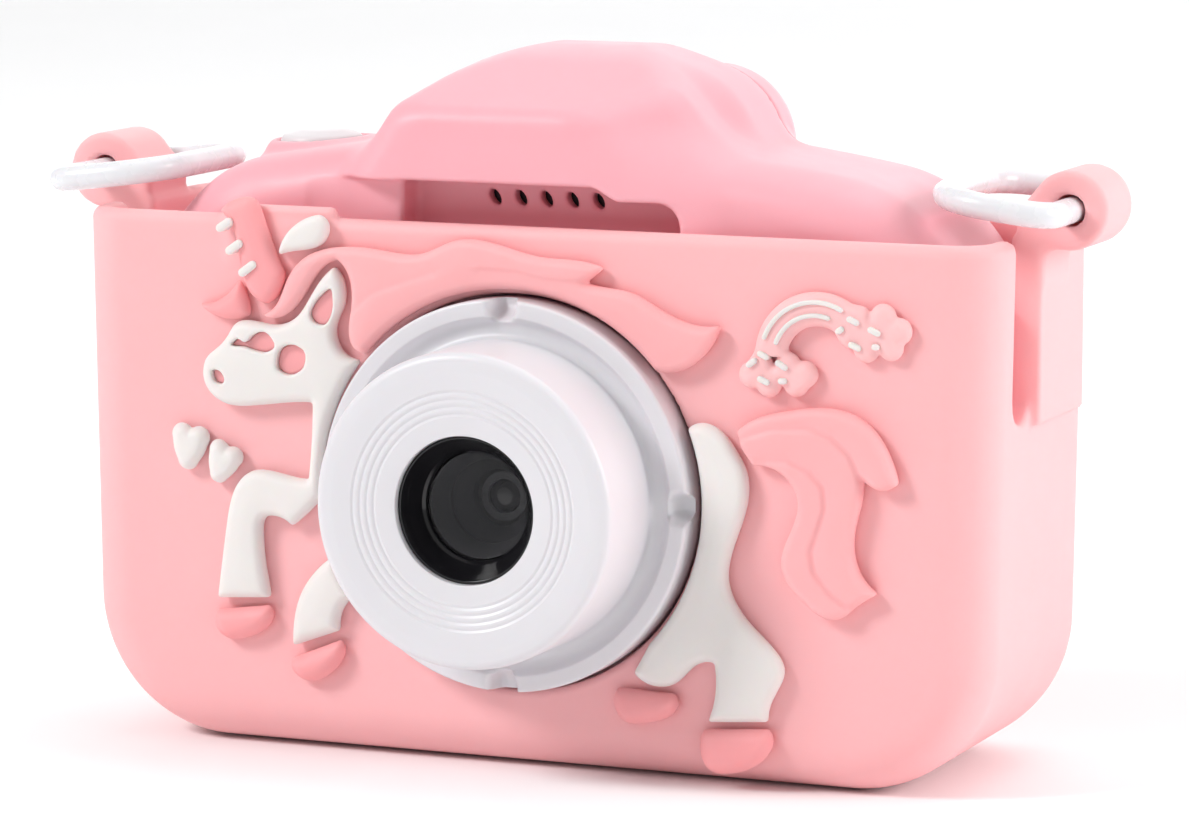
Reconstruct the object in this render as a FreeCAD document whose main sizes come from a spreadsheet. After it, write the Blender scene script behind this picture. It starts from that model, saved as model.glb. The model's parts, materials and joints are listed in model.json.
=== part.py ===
import FreeCAD, Part
import math
import os
import re
import Sketcher

# A children's digital camera in a soft silicone sleeve.
# +Z is up, the lens looks along -Y, and the origin is the centre of the sleeve's flat base.

Vector = FreeCAD.Vector
doc = FreeCAD.newDocument("kids_camera")
sheet = doc.addObject("Spreadsheet::Sheet", "Sizes")

SIZES = {
    # silicone sleeve
    "sleeve_width": 96.0,
    "sleeve_foot": 94.4,
    "sleeve_depth": 32.0,
    "sleeve_top": 53.0,
    "sleeve_wall": 2.4,
    "sleeve_corner": 14.0,
    "sleeve_edge": 5.0,
    "back_window_width": 81.0,
    "back_window_low": 7.0,
    "back_window_high": 47.0,
    "slot_front": 8.8,
    "slot_width": 5.6,
    "slot_bottom": 35.3,
    "strip_front": 2.6,
    "strip_rear": 10.4,
    "strip_bottom": 34.8,
    "strip_proud": 0.65,
    "lug_x": 51.3,
    "lug_height": 55.5,
    "lug_radius": 3.8,
    "lug_bore": 1.8,
    "lug_front": 8.3,
    "lug_rear": 5.3,
    "port_front": 0.6,
    "port_rear": 7.4,
    "port_low": 11.4,
    "port_high": 34.2,
    "relief_height": 2.0,
    # strap rings
    "ring_wire": 1.25,
    "ring_reach": 11.8,
    "ring_length": 21.5,
    "ring_slack": 1.7,
    "ring_bend": 6.0,
    "ring_lug_bend": 2.8,
    "ring_tilt": 7.0,
    # camera body
    "body_gap": 0.1,
    "body_wall": 1.6,
    "parting": 9.0,
    "shoulder_half": 44.5,
    "shoulder_outer": 55.1,
    "shoulder_inner": 61.6,
    "shoulder_flat": 20.0,
    "shoulder_front": 12.4,
    "shoulder_rear": 13.0,
    "shoulder_corner": 14.0,
    "shoulder_edge": 6.0,
    "hump_half": 19.0,
    "hump_knuckle": 60.0,
    "hump_top_half": 9.6,
    "hump_top": 69.3,
    "hump_front": 14.5,
    "hump_crest": 63.8,
    "hump_plateau": 0.5,
    "hump_corner": 7.0,
    "hump_shoulder_round": 5.0,
    "hump_top_round": 3.0,
    "hood_bottom": 57.0,
    "recess_back": 9.0,
    "bump_half": 18.0,
    "bump_top": 67.2,
    "bump_rear": 15.4,
    "bump_corner": 8.0,
    "collar_radius": 5.8,
    "collar_top": 59.4,
    # front lens
    "lens_x": 0.5,
    "lens_height": 27.2,
    "lens_hole": 19.8,
    "base_radius": 19.1,
    "base_face": 18.9,
    "barrel_radius": 15.26,
    "barrel_front": 28.6,
    "barrel_foot": 20.2,
    "barrel_edge": 1.8,
    "dish_depth": 0.75,
    "eye_radius": 7.15,
    "eye_back": 17.4,
    "window_radius": 5.2,
    "window_face": 24.6,
    "notch_width": 5.0,
    "notch_reach": 2.8,
    "notch_depth": 2.2,
    # buttons
    "shutter_x": 28.8,
    "shutter_y": 1.0,
    "shutter_radius": 4.3,
    "shutter_top": 60.3,
    "key_radius": 3.0,
    "key_rear": 14.6,
    "running_gap": 0.15,
    # display and electronics
    "screen_x": 11.6,
    "screen_height": 27.5,
    "screen_width": 46.0,
    "screen_tall": 36.0,
    "board_front": 5.0,
    "board_rear": 6.2,
}

for row, (alias, number) in enumerate(SIZES.items(), start=1):
    sheet.set("A%d" % row, alias.replace("_", " "))
    sheet.set("B%d" % row, str(number))
    sheet.setAlias("B%d" % row, alias)
doc.recompute()


def bound(formula):
    """Expression that reads the sheet, from a formula of plain size names."""
    return re.sub(r"([a-z]\w+)", r"Sizes.\1", str(formula))


def value(formula):
    """Number that a formula of size names comes to."""
    result = sheet.evalExpression(str(formula))
    return float(getattr(result, "Value", result))


# ---------------------------------------------------------------- building helpers

SUBPARTS = []


def name_part(item, label):
    """Give a finished sub-part the label that names its file."""
    item.Label = label
    SUBPARTS.append(item)
    return item


def place(item, x="0", y="0", z="0"):
    """Bind the item's position to three formulas."""
    for axis, formula in zip("xyz", (x, y, z)):
        item.setExpression("Placement.Base." + axis, bound(formula))
    return item


def add_sketch(body, name, role, offset="0"):
    """Empty sketch on one of the body's own origin planes, moved out by a formula."""
    sketch = body.newObject("Sketcher::SketchObject", name)
    planes = [item for item in body.Origin.OriginFeatures if item.Role == role]
    sketch.AttachmentSupport = [(planes[0], "")]
    sketch.MapMode = "FlatFace"
    sketch.setExpression("AttachmentOffset.Base.z", bound(offset))
    return sketch


def pin_point(sketch, geometry, end, formulas):
    """Hold one vertex at a pair of formulas, each a distance from a sketch axis."""
    for kind, axis_line, formula in zip(("DistanceX", "DistanceY"), (-2, -1), formulas):
        if abs(value(formula)) < 1e-9:
            sketch.addConstraint(Sketcher.Constraint("PointOnObject", geometry, end, axis_line))
            continue
        pin = Sketcher.Constraint(kind, -1, 1, geometry, end, value(formula))
        index = sketch.addConstraint(pin)
        sketch.setExpression("Constraints[%d]" % index, bound(formula))


def add_outline(sketch, points):
    """Closed outline of straight sides whose corners are pairs of formulas."""
    corners = [Vector(value(x), value(y), 0) for x, y in points]
    count = len(corners)
    first = sketch.GeometryCount
    for index, corner in enumerate(corners):
        sketch.addGeometry(Part.LineSegment(corner, corners[(index + 1) % count]), False)
    for index in range(count):
        following = first + (index + 1) % count
        sketch.addConstraint(Sketcher.Constraint("Coincident", first + index, 2, following, 1))
    for index, formulas in enumerate(points):
        pin_point(sketch, first + index, 1, formulas)


def add_pad(body, sketch, length):
    pad = body.newObject("PartDesign::Pad", sketch.Name + "Pad")
    pad.Profile = sketch
    pad.setExpression("Length", bound(length))
    doc.recompute()
    return pad


def add_pocket(body, sketch, length, reverse=False):
    """Pocket that must take something away."""
    before = body.Shape.Volume
    pocket = body.newObject("PartDesign::Pocket", sketch.Name + "Pocket")
    pocket.Profile = sketch
    pocket.Reversed = reverse
    pocket.setExpression("Length", bound(length))
    doc.recompute()
    if body.Shape.Volume > before - 0.01:
        raise ValueError(sketch.Name + " cuts nothing")
    return pocket


def add_round(body, radius, test):
    """Fillet on the edges whose middle point and direction pass a test."""
    base = body.Tip
    names = []
    for index, edge in enumerate(base.Shape.Edges, start=1):
        middle = edge.valueAt((edge.FirstParameter + edge.LastParameter) / 2)
        along = edge.valueAt(edge.LastParameter) - edge.valueAt(edge.FirstParameter)
        if test(middle, along):
            names.append("Edge%d" % index)
    if not names:
        raise ValueError("no edge to round on " + body.Name)
    fillet = body.newObject("PartDesign::Fillet", body.Name + "Round")
    fillet.Base = (base, names)
    fillet.setExpression("Radius", bound(radius))
    doc.recompute()
    if "Invalid" in fillet.State:
        raise ValueError("round fails on " + body.Name)
    return fillet


def turned(name, profile, x="0", y="0", z="0", upright=False):
    """Body of revolution about its own Y axis, or about Z when upright."""
    body = doc.addObject("PartDesign::Body", name)
    sketch = add_sketch(body, name + "Profile", "XZ_Plane" if upright else "XY_Plane")
    add_outline(sketch, profile)
    revolution = body.newObject("PartDesign::Revolution", name + "Turn")
    revolution.Profile = sketch
    revolution.ReferenceAxis = (sketch, ["V_Axis"])
    revolution.Angle = 360
    place(body, x, y, z)
    doc.recompute()
    return body


def block(name, low, high):
    """Box between two corners given as formulas."""
    box = doc.addObject("Part::Box", name)
    place(box, *low)
    for side, start, end in zip(("Length", "Width", "Height"), low, high):
        box.setExpression(side, "(%s) - (%s)" % (bound(end), bound(start)))
    return box


def rod(name, start, radius, length, along="y"):
    """Cylinder from a start point along +X, +Y or +Z."""
    cylinder = doc.addObject("Part::Cylinder", name)
    cylinder.setExpression("Radius", bound(radius))
    cylinder.setExpression("Height", bound(length))
    turns = {"x": (Vector(0, 1, 0), 90), "y": (Vector(1, 0, 0), -90), "z": (Vector(0, 0, 1), 0)}
    cylinder.Placement = FreeCAD.Placement(Vector(), FreeCAD.Rotation(*turns[along]))
    place(cylinder, *start)
    return cylinder


def fused(name, *items):
    fuse = doc.addObject("Part::MultiFuse", name)
    fuse.Shapes = list(items)
    return fuse


def group(name, *items):
    """Several separate solids in one sub-part."""
    compound = doc.addObject("Part::Compound", name)
    compound.Links = list(items)
    return compound


def cut(name, base, *tools):
    """Base with every tool taken away."""
    result = doc.addObject("Part::Cut", name)
    result.Base = base
    result.Tool = tools[0] if len(tools) == 1 else fused(name + "Tools", *tools)
    return result


def softened(name, base, radius, test):
    """Part fillet on the edges whose middle point passes a test."""
    doc.recompute()
    fillet = doc.addObject("Part::Fillet", name)
    fillet.Base = base
    edges = []
    for index, edge in enumerate(base.Shape.Edges, start=1):
        middle = edge.valueAt((edge.FirstParameter + edge.LastParameter) / 2)
        if test(middle):
            edges.append((index, value(radius), value(radius)))
    fillet.Edges = edges
    doc.recompute()
    return fillet


# ---------------------------------------------------------------- sleeve

def tub(name, inset, edge, top):
    """Rounded tub that the sleeve, its hollow and the camera body share, drawn in by an inset."""
    body = doc.addObject("PartDesign::Body", name)
    sketch = add_sketch(body, name + "Front", "XZ_Plane", "(%s) - sleeve_depth / 2" % inset)
    half_foot = "(sleeve_foot / 2 - (%s))" % inset
    half_top = "(%s + (sleeve_width - sleeve_foot) / 2 * (%s) / sleeve_top)" % (half_foot, top)
    add_outline(sketch, [
        ("-" + half_foot, inset),
        (half_foot, inset),
        (half_top, top),
        ("-" + half_top, top),
    ])
    add_pad(body, sketch, "sleeve_depth - 2 * (%s)" % inset)
    low = value(inset)
    add_round(body, "sleeve_corner - (%s)" % inset,
              lambda middle, along: abs(along.y) > 1 and middle.z < low + 1)
    depth = value("sleeve_depth") / 2 - low
    add_round(body, edge,
              lambda middle, along: abs(abs(middle.y) - depth) < 0.01 and middle.z < value(top) - 1)
    return body


def side_outline(name, sign, points, front, rear):
    """Plate standing in the XZ plane between two Y formulas, mirrored by sign for the left side."""
    body = doc.addObject("PartDesign::Body", name)
    sketch = add_sketch(body, name + "Outline", "XZ_Plane", "-(%s)" % rear)
    add_outline(sketch, [("%d * (%s)" % (sign, x), z) for x, z in points])
    add_pad(body, sketch, "(%s) - (%s)" % (rear, front))
    return body


def lug(sign, name):
    """Strip and rolled tube at one side of the sleeve, as one fused solid without its bore."""
    face = "sleeve_width / 2 + strip_proud"
    strip = side_outline(name + "Strip", sign, [
        ("sleeve_width / 2 - sleeve_wall", "strip_bottom"),
        ("sleeve_foot / 2 + 1.1", "strip_bottom"),
        (face, "sleeve_top - 2"),
        ("sleeve_width / 2", "sleeve_top - 0.6"),
        ("sleeve_width / 2 - sleeve_wall", "sleeve_top - 0.6"),
    ], "-strip_front", "strip_rear")
    neck = side_outline(name + "Neck", sign, [
        ("sleeve_width / 2 - sleeve_wall", "sleeve_top - 5"),
        (face, "sleeve_top - 4"),
        ("lug_x + lug_radius - 1.4", "lug_height - 1.6"),
        ("lug_x - lug_radius + 0.6", "lug_height + 1"),
        ("sleeve_width / 2 - sleeve_wall", "sleeve_top"),
    ], "-strip_front", "lug_rear - 0.4")
    tube = rod(name + "Tube", ("%d * lug_x" % sign, "-lug_front", "lug_height"),
               "lug_radius", "lug_front + lug_rear")
    rounded = softened(name + "TubeRound", tube, "1.1",
                       lambda middle: abs(middle.y) > value("lug_front") - 0.1)
    return fused(name, strip, neck, rounded)


def lug_bore(sign, name):
    return rod(name, ("%d * lug_x" % sign, "-lug_front - 3", "lug_height"),
               "lug_bore", "lug_front + lug_rear + 6")


def strap_slot(sign, name):
    """Slot down through the side wall in front of the lug strip, with a round bottom."""
    outer, inner = "sleeve_width / 2 + 4", "sleeve_width / 2 - sleeve_wall - 4"
    low, high = (inner, outer) if sign > 0 else ("-(%s)" % outer, "-(%s)" % inner)
    straight = block(name + "Straight", (low, "-slot_front", "slot_bottom + slot_width / 2"),
                     (high, "-slot_front + slot_width", "sleeve_top + 2"))
    end = rod(name + "End", (low, "-slot_front + slot_width / 2", "slot_bottom + slot_width / 2"),
              "slot_width / 2", "(%s) - (%s)" % (high, low), "x")
    return fused(name, straight, end)


sleeve_outer = tub("SleeveOuter", "0", "sleeve_edge", "sleeve_top")
sleeve_core = tub("SleeveCore", "sleeve_wall", "sleeve_edge - sleeve_wall", "sleeve_top + 3")
lens_opening = rod("SleeveLensOpening", ("-lens_x", "-sleeve_depth / 2 - 1", "lens_height"),
                   "lens_hole", "sleeve_wall + 2")
back_window = softened("BackWindow", block(
    "BackWindowBlock",
    ("-back_window_width / 2", "sleeve_depth / 2 - sleeve_wall - 1", "back_window_low"),
    ("back_window_width / 2", "sleeve_depth / 2 + 1", "back_window_high")), "5",
    lambda middle: abs(middle.y - value("sleeve_depth / 2 - sleeve_wall / 2")) < 0.01)
port_window = softened("PortWindow", block(
    "PortWindowBlock",
    ("-sleeve_width / 2 - 1", "-port_front", "port_low"),
    ("-sleeve_width / 2 + sleeve_wall + 2", "port_rear", "port_high")), "2",
    lambda middle: abs(middle.x - value("-sleeve_width / 2 + sleeve_wall / 2 + 0.5")) < 0.01)
rim_ridge = block("RimRidge", ("-31.5", "-sleeve_depth / 2", "sleeve_top - 5"),
                  ("-19.5", "-sleeve_depth / 2 + 1.4", "sleeve_top + 1.1"))
sleeve_solid = fused("SleeveSolid", sleeve_outer, rim_ridge, lug(1, "LugRight"), lug(-1, "LugLeft"))
sleeve_walls = cut("SleeveWalls", sleeve_solid, sleeve_core)
sleeve = cut("Sleeve", sleeve_walls, lens_opening, back_window, port_window,
             lug_bore(1, "BoreRight"), lug_bore(-1, "BoreLeft"),
             strap_slot(1, "SlotRight"), strap_slot(-1, "SlotLeft"))
name_part(sleeve, "silicone_sleeve")


# ---------------------------------------------------------------- relief on the sleeve's front


def relief(name, runs, height="relief_height"):
    """Raised motif on the front: smooth runs of points (x, z) that join end to end at corners."""
    back = -value("sleeve_depth") / 2
    edges = []
    for run in runs:
        points = [Vector(x, back, z) for x, z in run]
        if len(points) == 2:
            edges.append(Part.LineSegment(*points).toShape())
            continue
        curve = Part.BSplineCurve()
        curve.interpolate(points, PeriodicFlag=len(runs) == 1)
        edges.append(curve.toShape())
    face = Part.Face(Part.Wire(edges))
    solid = doc.addObject("Part::Feature", name)
    solid.Shape = face.extrude(Vector(0, -value(height), 0))
    solid.Placement = FreeCAD.Placement()
    return solid


def hoof(name, left, right, low, top_left, top_right):
    """Bean-shaped hoof with a straight, tilted top edge."""
    middle = (left + right) / 2
    start, end = (left + 0.5, top_left), (right - 0.5, top_right)
    return relief(name, [
        [start, end],
        [end, (right, top_right - 1.2), (right - 0.9, (low + top_right) / 2 - 0.7),
         (middle + 0.4, low + 0.2), (left + 1.0, low + 0.2), (left, (low + top_left) / 2 + 0.3), start],
    ])


def disc_arc(start, end, count=5):
    """Points along the edge of the lens opening between two angles in degrees."""
    radius = value("lens_hole") + 0.15
    angles = [start + (end - start) * step / count for step in range(count + 1)]
    return [(radius * math.cos(math.radians(a)) - value("lens_x"),
             radius * math.sin(math.radians(a)) + value("lens_height")) for a in angles]


chest = disc_arc(142, 184)
head = relief("HeadNeck", [
    [(-33.3, 38.0), (-32.8, 39.1), (-31.6, 40.1), (-30.5, 41.4), (-29.8, 42.4), (-27.4, 42.7),
     (-25.2, 42.5), (-23.2, 43.3), (-21.8, 45.1), (-20.4, 47.2), (-19.0, 48.5)],
    [(-19.0, 48.5), (-18.0, 46.9), (-18.0, 44.8), (-18.9, 42.6), (-18.6, 40.8), chest[0]],
    chest,
    [chest[-1], (-21.9, 24.2), (-23.8, 22.6)],
    [(-23.8, 22.6), (-25.7, 23.5), (-26.7, 23.3), (-27.1, 21.6), (-26.8, 18.2), (-26.3, 15.3)],
    [(-26.3, 15.3), (-32.0, 14.9)],
    [(-32.0, 14.9), (-31.6, 17.8), (-31.1, 21.2), (-30.5, 24.6), (-29.7, 26.5), (-28.2, 27.8),
     (-25.8, 27.9), (-21.9, 27.4)],
    [(-21.9, 27.4), (-21.6, 30.5), (-21.4, 35.0)],
    [(-21.4, 35.0), (-24.5, 34.8), (-28.3, 34.3), (-31.2, 34.5), (-32.8, 35.7), (-33.3, 38.0)],
])
name_part(head, "unicorn_head_and_foreleg")

belly = disc_arc(201, 214, 3)
foreleg = relief("SecondForeleg", [
    belly,
    [belly[-1], (-18.4, 14.6), (-18.7, 12.5)],
    [(-18.7, 12.5), (-23.8, 10.6)],
    [(-23.8, 10.6), (-23.7, 13.2), (-22.9, 16.0), (-21.4, 18.2), belly[0]],
])
name_part(foreleg, "unicorn_second_foreleg")

haunch = disc_arc(-43, 22, 7)
hind_leg = relief("HindLegs", [
    haunch,
    [haunch[-1], (19.8, 35.3), (21.4, 34.6), (22.8, 33.0), (24.0, 30.8), (24.0, 27.4), (22.8, 23.8),
     (22.2, 20.2), (23.9, 16.8), (26.6, 14.2), (27.9, 12.0), (26.9, 9.4), (26.3, 6.9)],
    [(26.3, 6.9), (20.1, 6.4)],
    [(20.1, 6.4), (20.9, 9.2), (20.8, 12.2)],
    [(20.8, 12.2), (18.6, 11.6), (16.8, 9.9), (14.6, 9.5), (12.5, 10.7)],
    [(12.5, 10.7), (13.2, 11.9), haunch[0]],
])
name_part(hind_leg, "unicorn_hind_legs")

name_part(group("Hooves", hoof("HoofFrontLeft", -32.6, -25.9, 10.8, 13.8, 14.6),
                hoof("HoofFrontRight", -24.2, -18.1, 7.2, 9.6, 11.7),
                hoof("HoofHindLeft", 10.3, 17.2, 5.6, 9.2, 9.0),
                hoof("HoofHindRight", 19.2, 26.9, 1.5, 5.8, 6.3)), "unicorn_hooves")

horn = relief("Horn", [
    [(-31.5, 53.4), (-29.8, 54.7), (-27.6, 54.8), (-26.7, 53.2), (-25.7, 50.5), (-24.4, 47.7)],
    [(-24.4, 47.7), (-25.0, 45.6), (-26.4, 44.5), (-27.6, 44.9), (-29.2, 48.0), (-31.5, 53.4)],
])
name_part(horn, "unicorn_horn")


def short_bar(name, x, z, angle, length=1.9, width=0.75):
    """Small raised bar on top of the horn."""
    bar = doc.addObject("Part::Box", name)
    bar.Length = length
    bar.Height = width
    bar.Width = 0.3
    bar.Placement = FreeCAD.Placement(
        Vector(x, -value("sleeve_depth / 2 + relief_height") - 0.3, z),
        FreeCAD.Rotation(Vector(0, 1, 0), angle))
    return bar


horn_bars = [short_bar("HornBar%d" % step, -30.6 + 1.05 * step, 52.2 - 2.1 * step, -24)
             for step in range(3)]
name_part(group("HornBars", *horn_bars), "unicorn_horn_bars")

forelock = relief("Forelock", [
    [(-34.4, 44.5), (-32.4, 44.4), (-30.8, 45.3), (-29.4, 46.9)],
    [(-29.4, 46.9), (-28.4, 44.7), (-28.2, 43.3)],
    [(-28.2, 43.3), (-30.4, 42.7), (-32.4, 43.1), (-34.4, 44.5)],
])
name_part(forelock, "unicorn_forelock")

far_ear = relief("FarEar", [
    [(-25.0, 49.3), (-24.3, 51.2), (-22.6, 52.8), (-20.8, 53.5)],
    [(-20.8, 53.5), (-19.7, 52.4), (-20.2, 50.8), (-22.2, 50.0), (-25.0, 49.3)],
])
name_part(far_ear, "unicorn_far_ear")

crest = disc_arc(140, 40, 12)
mane = relief("Mane", [
    [(-27.2, 43.4), (-25.2, 44.6), (-24.0, 47.2), (-22.0, 49.4), (-18.8, 50.4), (-14.0, 50.3),
     (-9.6, 50.2), (-6.2, 51.6), (-2.2, 51.5), (2.6, 50.4), (6.6, 50.2), (9.4, 49.6)],
    [(9.4, 49.6), (7.5, 48.1)],
    [(7.5, 48.1), (10.0, 47.7), (12.4, 47.3), (14.8, 46.1), (17.8, 44.8), (21.3, 44.7)],
    [(21.3, 44.7), (20.2, 42.4), (18.4, 40.7), crest[-1]],
    crest[::-1],
    [crest[0], (-17.2, 41.0), (-17.3, 44.0), (-17.2, 46.8), (-18.6, 49.2)],
    [(-18.6, 49.2), (-20.7, 47.9), (-22.2, 45.7), (-23.7, 43.9), (-27.2, 43.4)],
])
name_part(mane, "unicorn_mane")

tail = relief("Tail", [
    [(23.0, 34.7), (24.5, 35.8), (28.5, 37.0), (32.4, 37.4), (36.0, 36.2), (38.2, 33.4), (39.2, 30.6)],
    [(39.2, 30.6), (37.8, 29.9), (35.7, 30.8)],
    [(35.7, 30.8), (35.5, 28.4), (34.8, 25.2), (35.2, 22.4), (37.3, 20.0)],
    [(37.3, 20.0), (35.6, 19.0), (34.3, 17.9)],
    [(34.3, 17.9), (33.2, 17.3), (29.8, 18.8), (27.6, 22.2), (28.6, 25.6), (29.2, 28.6), (27.8, 30.7),
     (24.8, 31.5)],
    [(24.8, 31.5), (23.7, 32.9), (23.0, 34.7)],
])
name_part(tail, "unicorn_tail")


def heart(name, x, z, size, angle):
    """Plump heart around a centre, turned by an angle in degrees."""
    shape = [(0, -0.95), (0.75, -0.25), (0.98, 0.4), (0.55, 0.85), (0, 0.55),
             (-0.55, 0.85), (-0.98, 0.4), (-0.75, -0.25)]
    turn = math.radians(angle)
    return relief(name, [[
        (x + size * (a * math.cos(turn) - b * math.sin(turn)),
         z + size * (a * math.sin(turn) + b * math.cos(turn))) for a, b in shape]])


name_part(fused("Hearts", heart("HeartLarge", -35.1, 30.1, 2.5, -12),
                heart("HeartSmall", -31.4, 28.5, 2.3, -8)), "heart_pair")


def cloud(name, x, z, width, tall, lobes, turn):
    """Cloud outline: a ring of round lobes about a centre."""
    points = []
    for lobe in range(lobes):
        for part, reach in ((-0.28, 0.9), (0, 1.12), (0.28, 0.9)):
            angle = turn + 2 * math.pi * (lobe + part) / lobes
            points.append((x + width * reach * math.cos(angle), z + tall * reach * math.sin(angle)))
    return relief(name, [points], "relief_height * 0.9")


BOW_CENTRE = (31.0, 42.0)


def bow_point(radius, degrees):
    """Point of the rainbow at a radius and angle from its centre."""
    turn = math.radians(degrees)
    return (BOW_CENTRE[0] + radius * math.cos(turn), BOW_CENTRE[1] + radius * math.sin(turn))


bow_outer = [bow_point(6.5, angle) for angle in range(40, 181, 20)]
bow_inner = [bow_point(3.0, angle) for angle in range(180, 39, -20)]
rainbow = relief("Rainbow", [
    bow_outer, [bow_outer[-1], bow_inner[0]], bow_inner, [bow_inner[-1], bow_outer[0]],
], "relief_height * 0.7")
clouds = fused("RainbowClouds", rainbow, cloud("CloudLow", 27.2, 40.4, 3.3, 2.5, 5, 0.5),
               cloud("CloudHigh", 36.6, 44.7, 4.2, 2.7, 6, 0.3))
name_part(clouds, "rainbow_and_clouds")


def bow_stripe(name, radius):
    """Thin raised stripe along the rainbow."""
    outer = [bow_point(radius + 0.2, angle) for angle in range(80, 156, 15)]
    inner = [bow_point(radius - 0.2, angle) for angle in range(155, 79, -15)]
    stripe = relief(name, [outer, [outer[-1], inner[0]], inner, [inner[-1], outer[0]]], "0.3")
    stripe.Placement = FreeCAD.Placement(Vector(0, -value("relief_height * 0.7"), 0), FreeCAD.Rotation())
    return stripe


def dot(name, x, z):
    """Small raised drop on a cloud."""
    return rod(name, (str(x), "-sleeve_depth / 2 - relief_height * 0.9 - 0.3", str(z)), "0.36", "0.3")


DOTS = [(25.0, 41.0), (26.6, 39.2), (27.4, 41.0), (28.8, 39.6),
        (34.2, 44.4), (35.8, 46.0), (36.6, 43.6), (38.4, 45.4), (38.6, 43.8)]
name_part(group("RainbowHighlights", bow_stripe("StripeOuter", 5.5), bow_stripe("StripeInner", 4.2),
                *[dot("Drop%d" % index, x, z) for index, (x, z) in enumerate(DOTS, start=1)]),
          "rainbow_highlights")


# ---------------------------------------------------------------- strap rings

def strap_ring(sign, label):
    """Closed oval ring of round wire that runs through the lug and lies in over the shoulder.

    The right ring is slid back until it meets the front of its lug, the left one forward until it
    meets the rear.
    """
    reach = value("ring_reach")
    front = value("-lug_front - ring_slack" if sign > 0 else "lug_rear + ring_slack - ring_length")
    rear = front + value("ring_length")
    near, far = value("ring_lug_bend"), value("ring_bend")
    slack = 1 - math.cos(math.radians(45))
    along = [
        Part.LineSegment(Vector(0, front + near, 0), Vector(0, rear - near, 0)),
        Part.Arc(Vector(0, rear - near, 0), Vector(-near * slack, rear - near * slack, 0),
                 Vector(-near, rear, 0)),
        Part.LineSegment(Vector(-near, rear, 0), Vector(far - reach, rear, 0)),
        Part.Arc(Vector(far - reach, rear, 0), Vector(far * slack - reach, rear - far * slack, 0),
                 Vector(-reach, rear - far, 0)),
        Part.LineSegment(Vector(-reach, rear - far, 0), Vector(-reach, front + far, 0)),
        Part.Arc(Vector(-reach, front + far, 0), Vector(far * slack - reach, front + far * slack, 0),
                 Vector(far - reach, front, 0)),
        Part.LineSegment(Vector(far - reach, front, 0), Vector(-near, front, 0)),
        Part.Arc(Vector(-near, front, 0), Vector(-near * slack, front + near * slack, 0),
                 Vector(0, front + near, 0)),
    ]
    path = Part.Wire([piece.toShape() for piece in along])
    start = Vector(0, front + near, 0)
    section = Part.Wire([Part.Circle(start, Vector(0, 1, 0), value("ring_wire")).toShape()])
    ring = doc.addObject("Part::Feature", "Ring" + label)
    solid = path.makePipeShell([section], True, False)
    if sign < 0:
        solid = solid.mirror(Vector(0, 0, 0), Vector(1, 0, 0))
    ring.Shape = solid
    ring.Placement = FreeCAD.Placement(
        Vector(sign * value("lug_x"), 0, value("lug_height")),
        FreeCAD.Rotation(Vector(0, 1, 0), sign * value("ring_tilt")))
    return name_part(ring, "strap_ring_" + label)


strap_ring(1, "right")
strap_ring(-1, "left")


# ---------------------------------------------------------------- camera body

INSET = "sleeve_wall + body_gap"
body_tub = tub("BodyTub", INSET, "sleeve_edge - sleeve_wall", "sleeve_top - 6")

shoulders = doc.addObject("PartDesign::Body", "Shoulders")
shoulder_sketch = add_sketch(shoulders, "ShoulderOutline", "XZ_Plane", "-shoulder_rear")
add_outline(shoulder_sketch, [
    ("-shoulder_half", "sleeve_top - 23"),
    ("shoulder_half", "sleeve_top - 23"),
    ("shoulder_half", "shoulder_outer"),
    ("shoulder_flat", "shoulder_inner"),
    ("-shoulder_flat", "shoulder_inner"),
    ("-shoulder_half", "shoulder_outer"),
])
add_pad(shoulders, shoulder_sketch, "shoulder_rear + shoulder_front")
add_round(shoulders, "shoulder_corner",
          lambda middle, along: abs(along.y) > 1 and abs(middle.x) > 40 and middle.z > 50)
add_round(shoulders, "shoulder_edge",
          lambda middle, along: middle.z > 40 and (middle.y < -value("shoulder_front") + 0.01
                                                   or middle.y > value("shoulder_rear") - 0.01))

hump = doc.addObject("PartDesign::Body", "Hump")
hump_sketch = add_sketch(hump, "HumpFront", "XZ_Plane", "-(parting + 1.2)")
add_outline(hump_sketch, [
    ("-hump_half", "sleeve_top + 0.3"),
    ("hump_half", "sleeve_top + 0.3"),
    ("hump_half", "hump_knuckle"),
    ("hump_top_half", "hump_top"),
    ("-hump_top_half", "hump_top"),
    ("-hump_half", "hump_knuckle"),
])
add_pad(hump, hump_sketch, "parting + 1.2 + hump_front")
add_round(hump, "hump_corner",
          lambda middle, along: abs(along.z) > 5 and middle.y < 1 - value("hump_front")
          and abs(along.x) < 0.1)
add_round(hump, "hump_shoulder_round",
          lambda middle, along: abs(along.y) > 5 and abs(middle.z - value("hump_knuckle")) < 0.1)
add_round(hump, "hump_top_round",
          lambda middle, along: abs(along.y) > 5 and abs(middle.z - value("hump_top")) < 0.1
          and abs(abs(middle.x) - value("hump_top_half")) < 0.1)
slope_sketch = add_sketch(hump, "HumpSlope", "YZ_Plane", "-hump_half - 1")
add_outline(slope_sketch, [
    ("-hump_front - 3", "hump_crest - 3 * (hump_top - hump_crest) / (hump_front + hump_plateau)"),
    ("hump_plateau", "hump_top"),
    ("hump_plateau", "hump_top + 9"),
    ("-hump_front - 3", "hump_top + 9"),
])
add_pocket(hump, slope_sketch, "2 * hump_half + 2", reverse=True)
hood_recess = side_outline("HoodRecess", 1, [
    ("-hump_half + 5.2", "sleeve_top - 2.7"),
    ("hump_half - 3.2", "sleeve_top - 2.7"),
    ("hump_half - 3.6", "hood_bottom - 3"),
    ("hump_half - 9.6", "hood_bottom - 1.2"),
    ("hump_half - 12.2", "hood_bottom"),
    ("-hump_half + 5.2", "hood_bottom"),
], "-sleeve_depth", "-recess_back")

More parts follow.
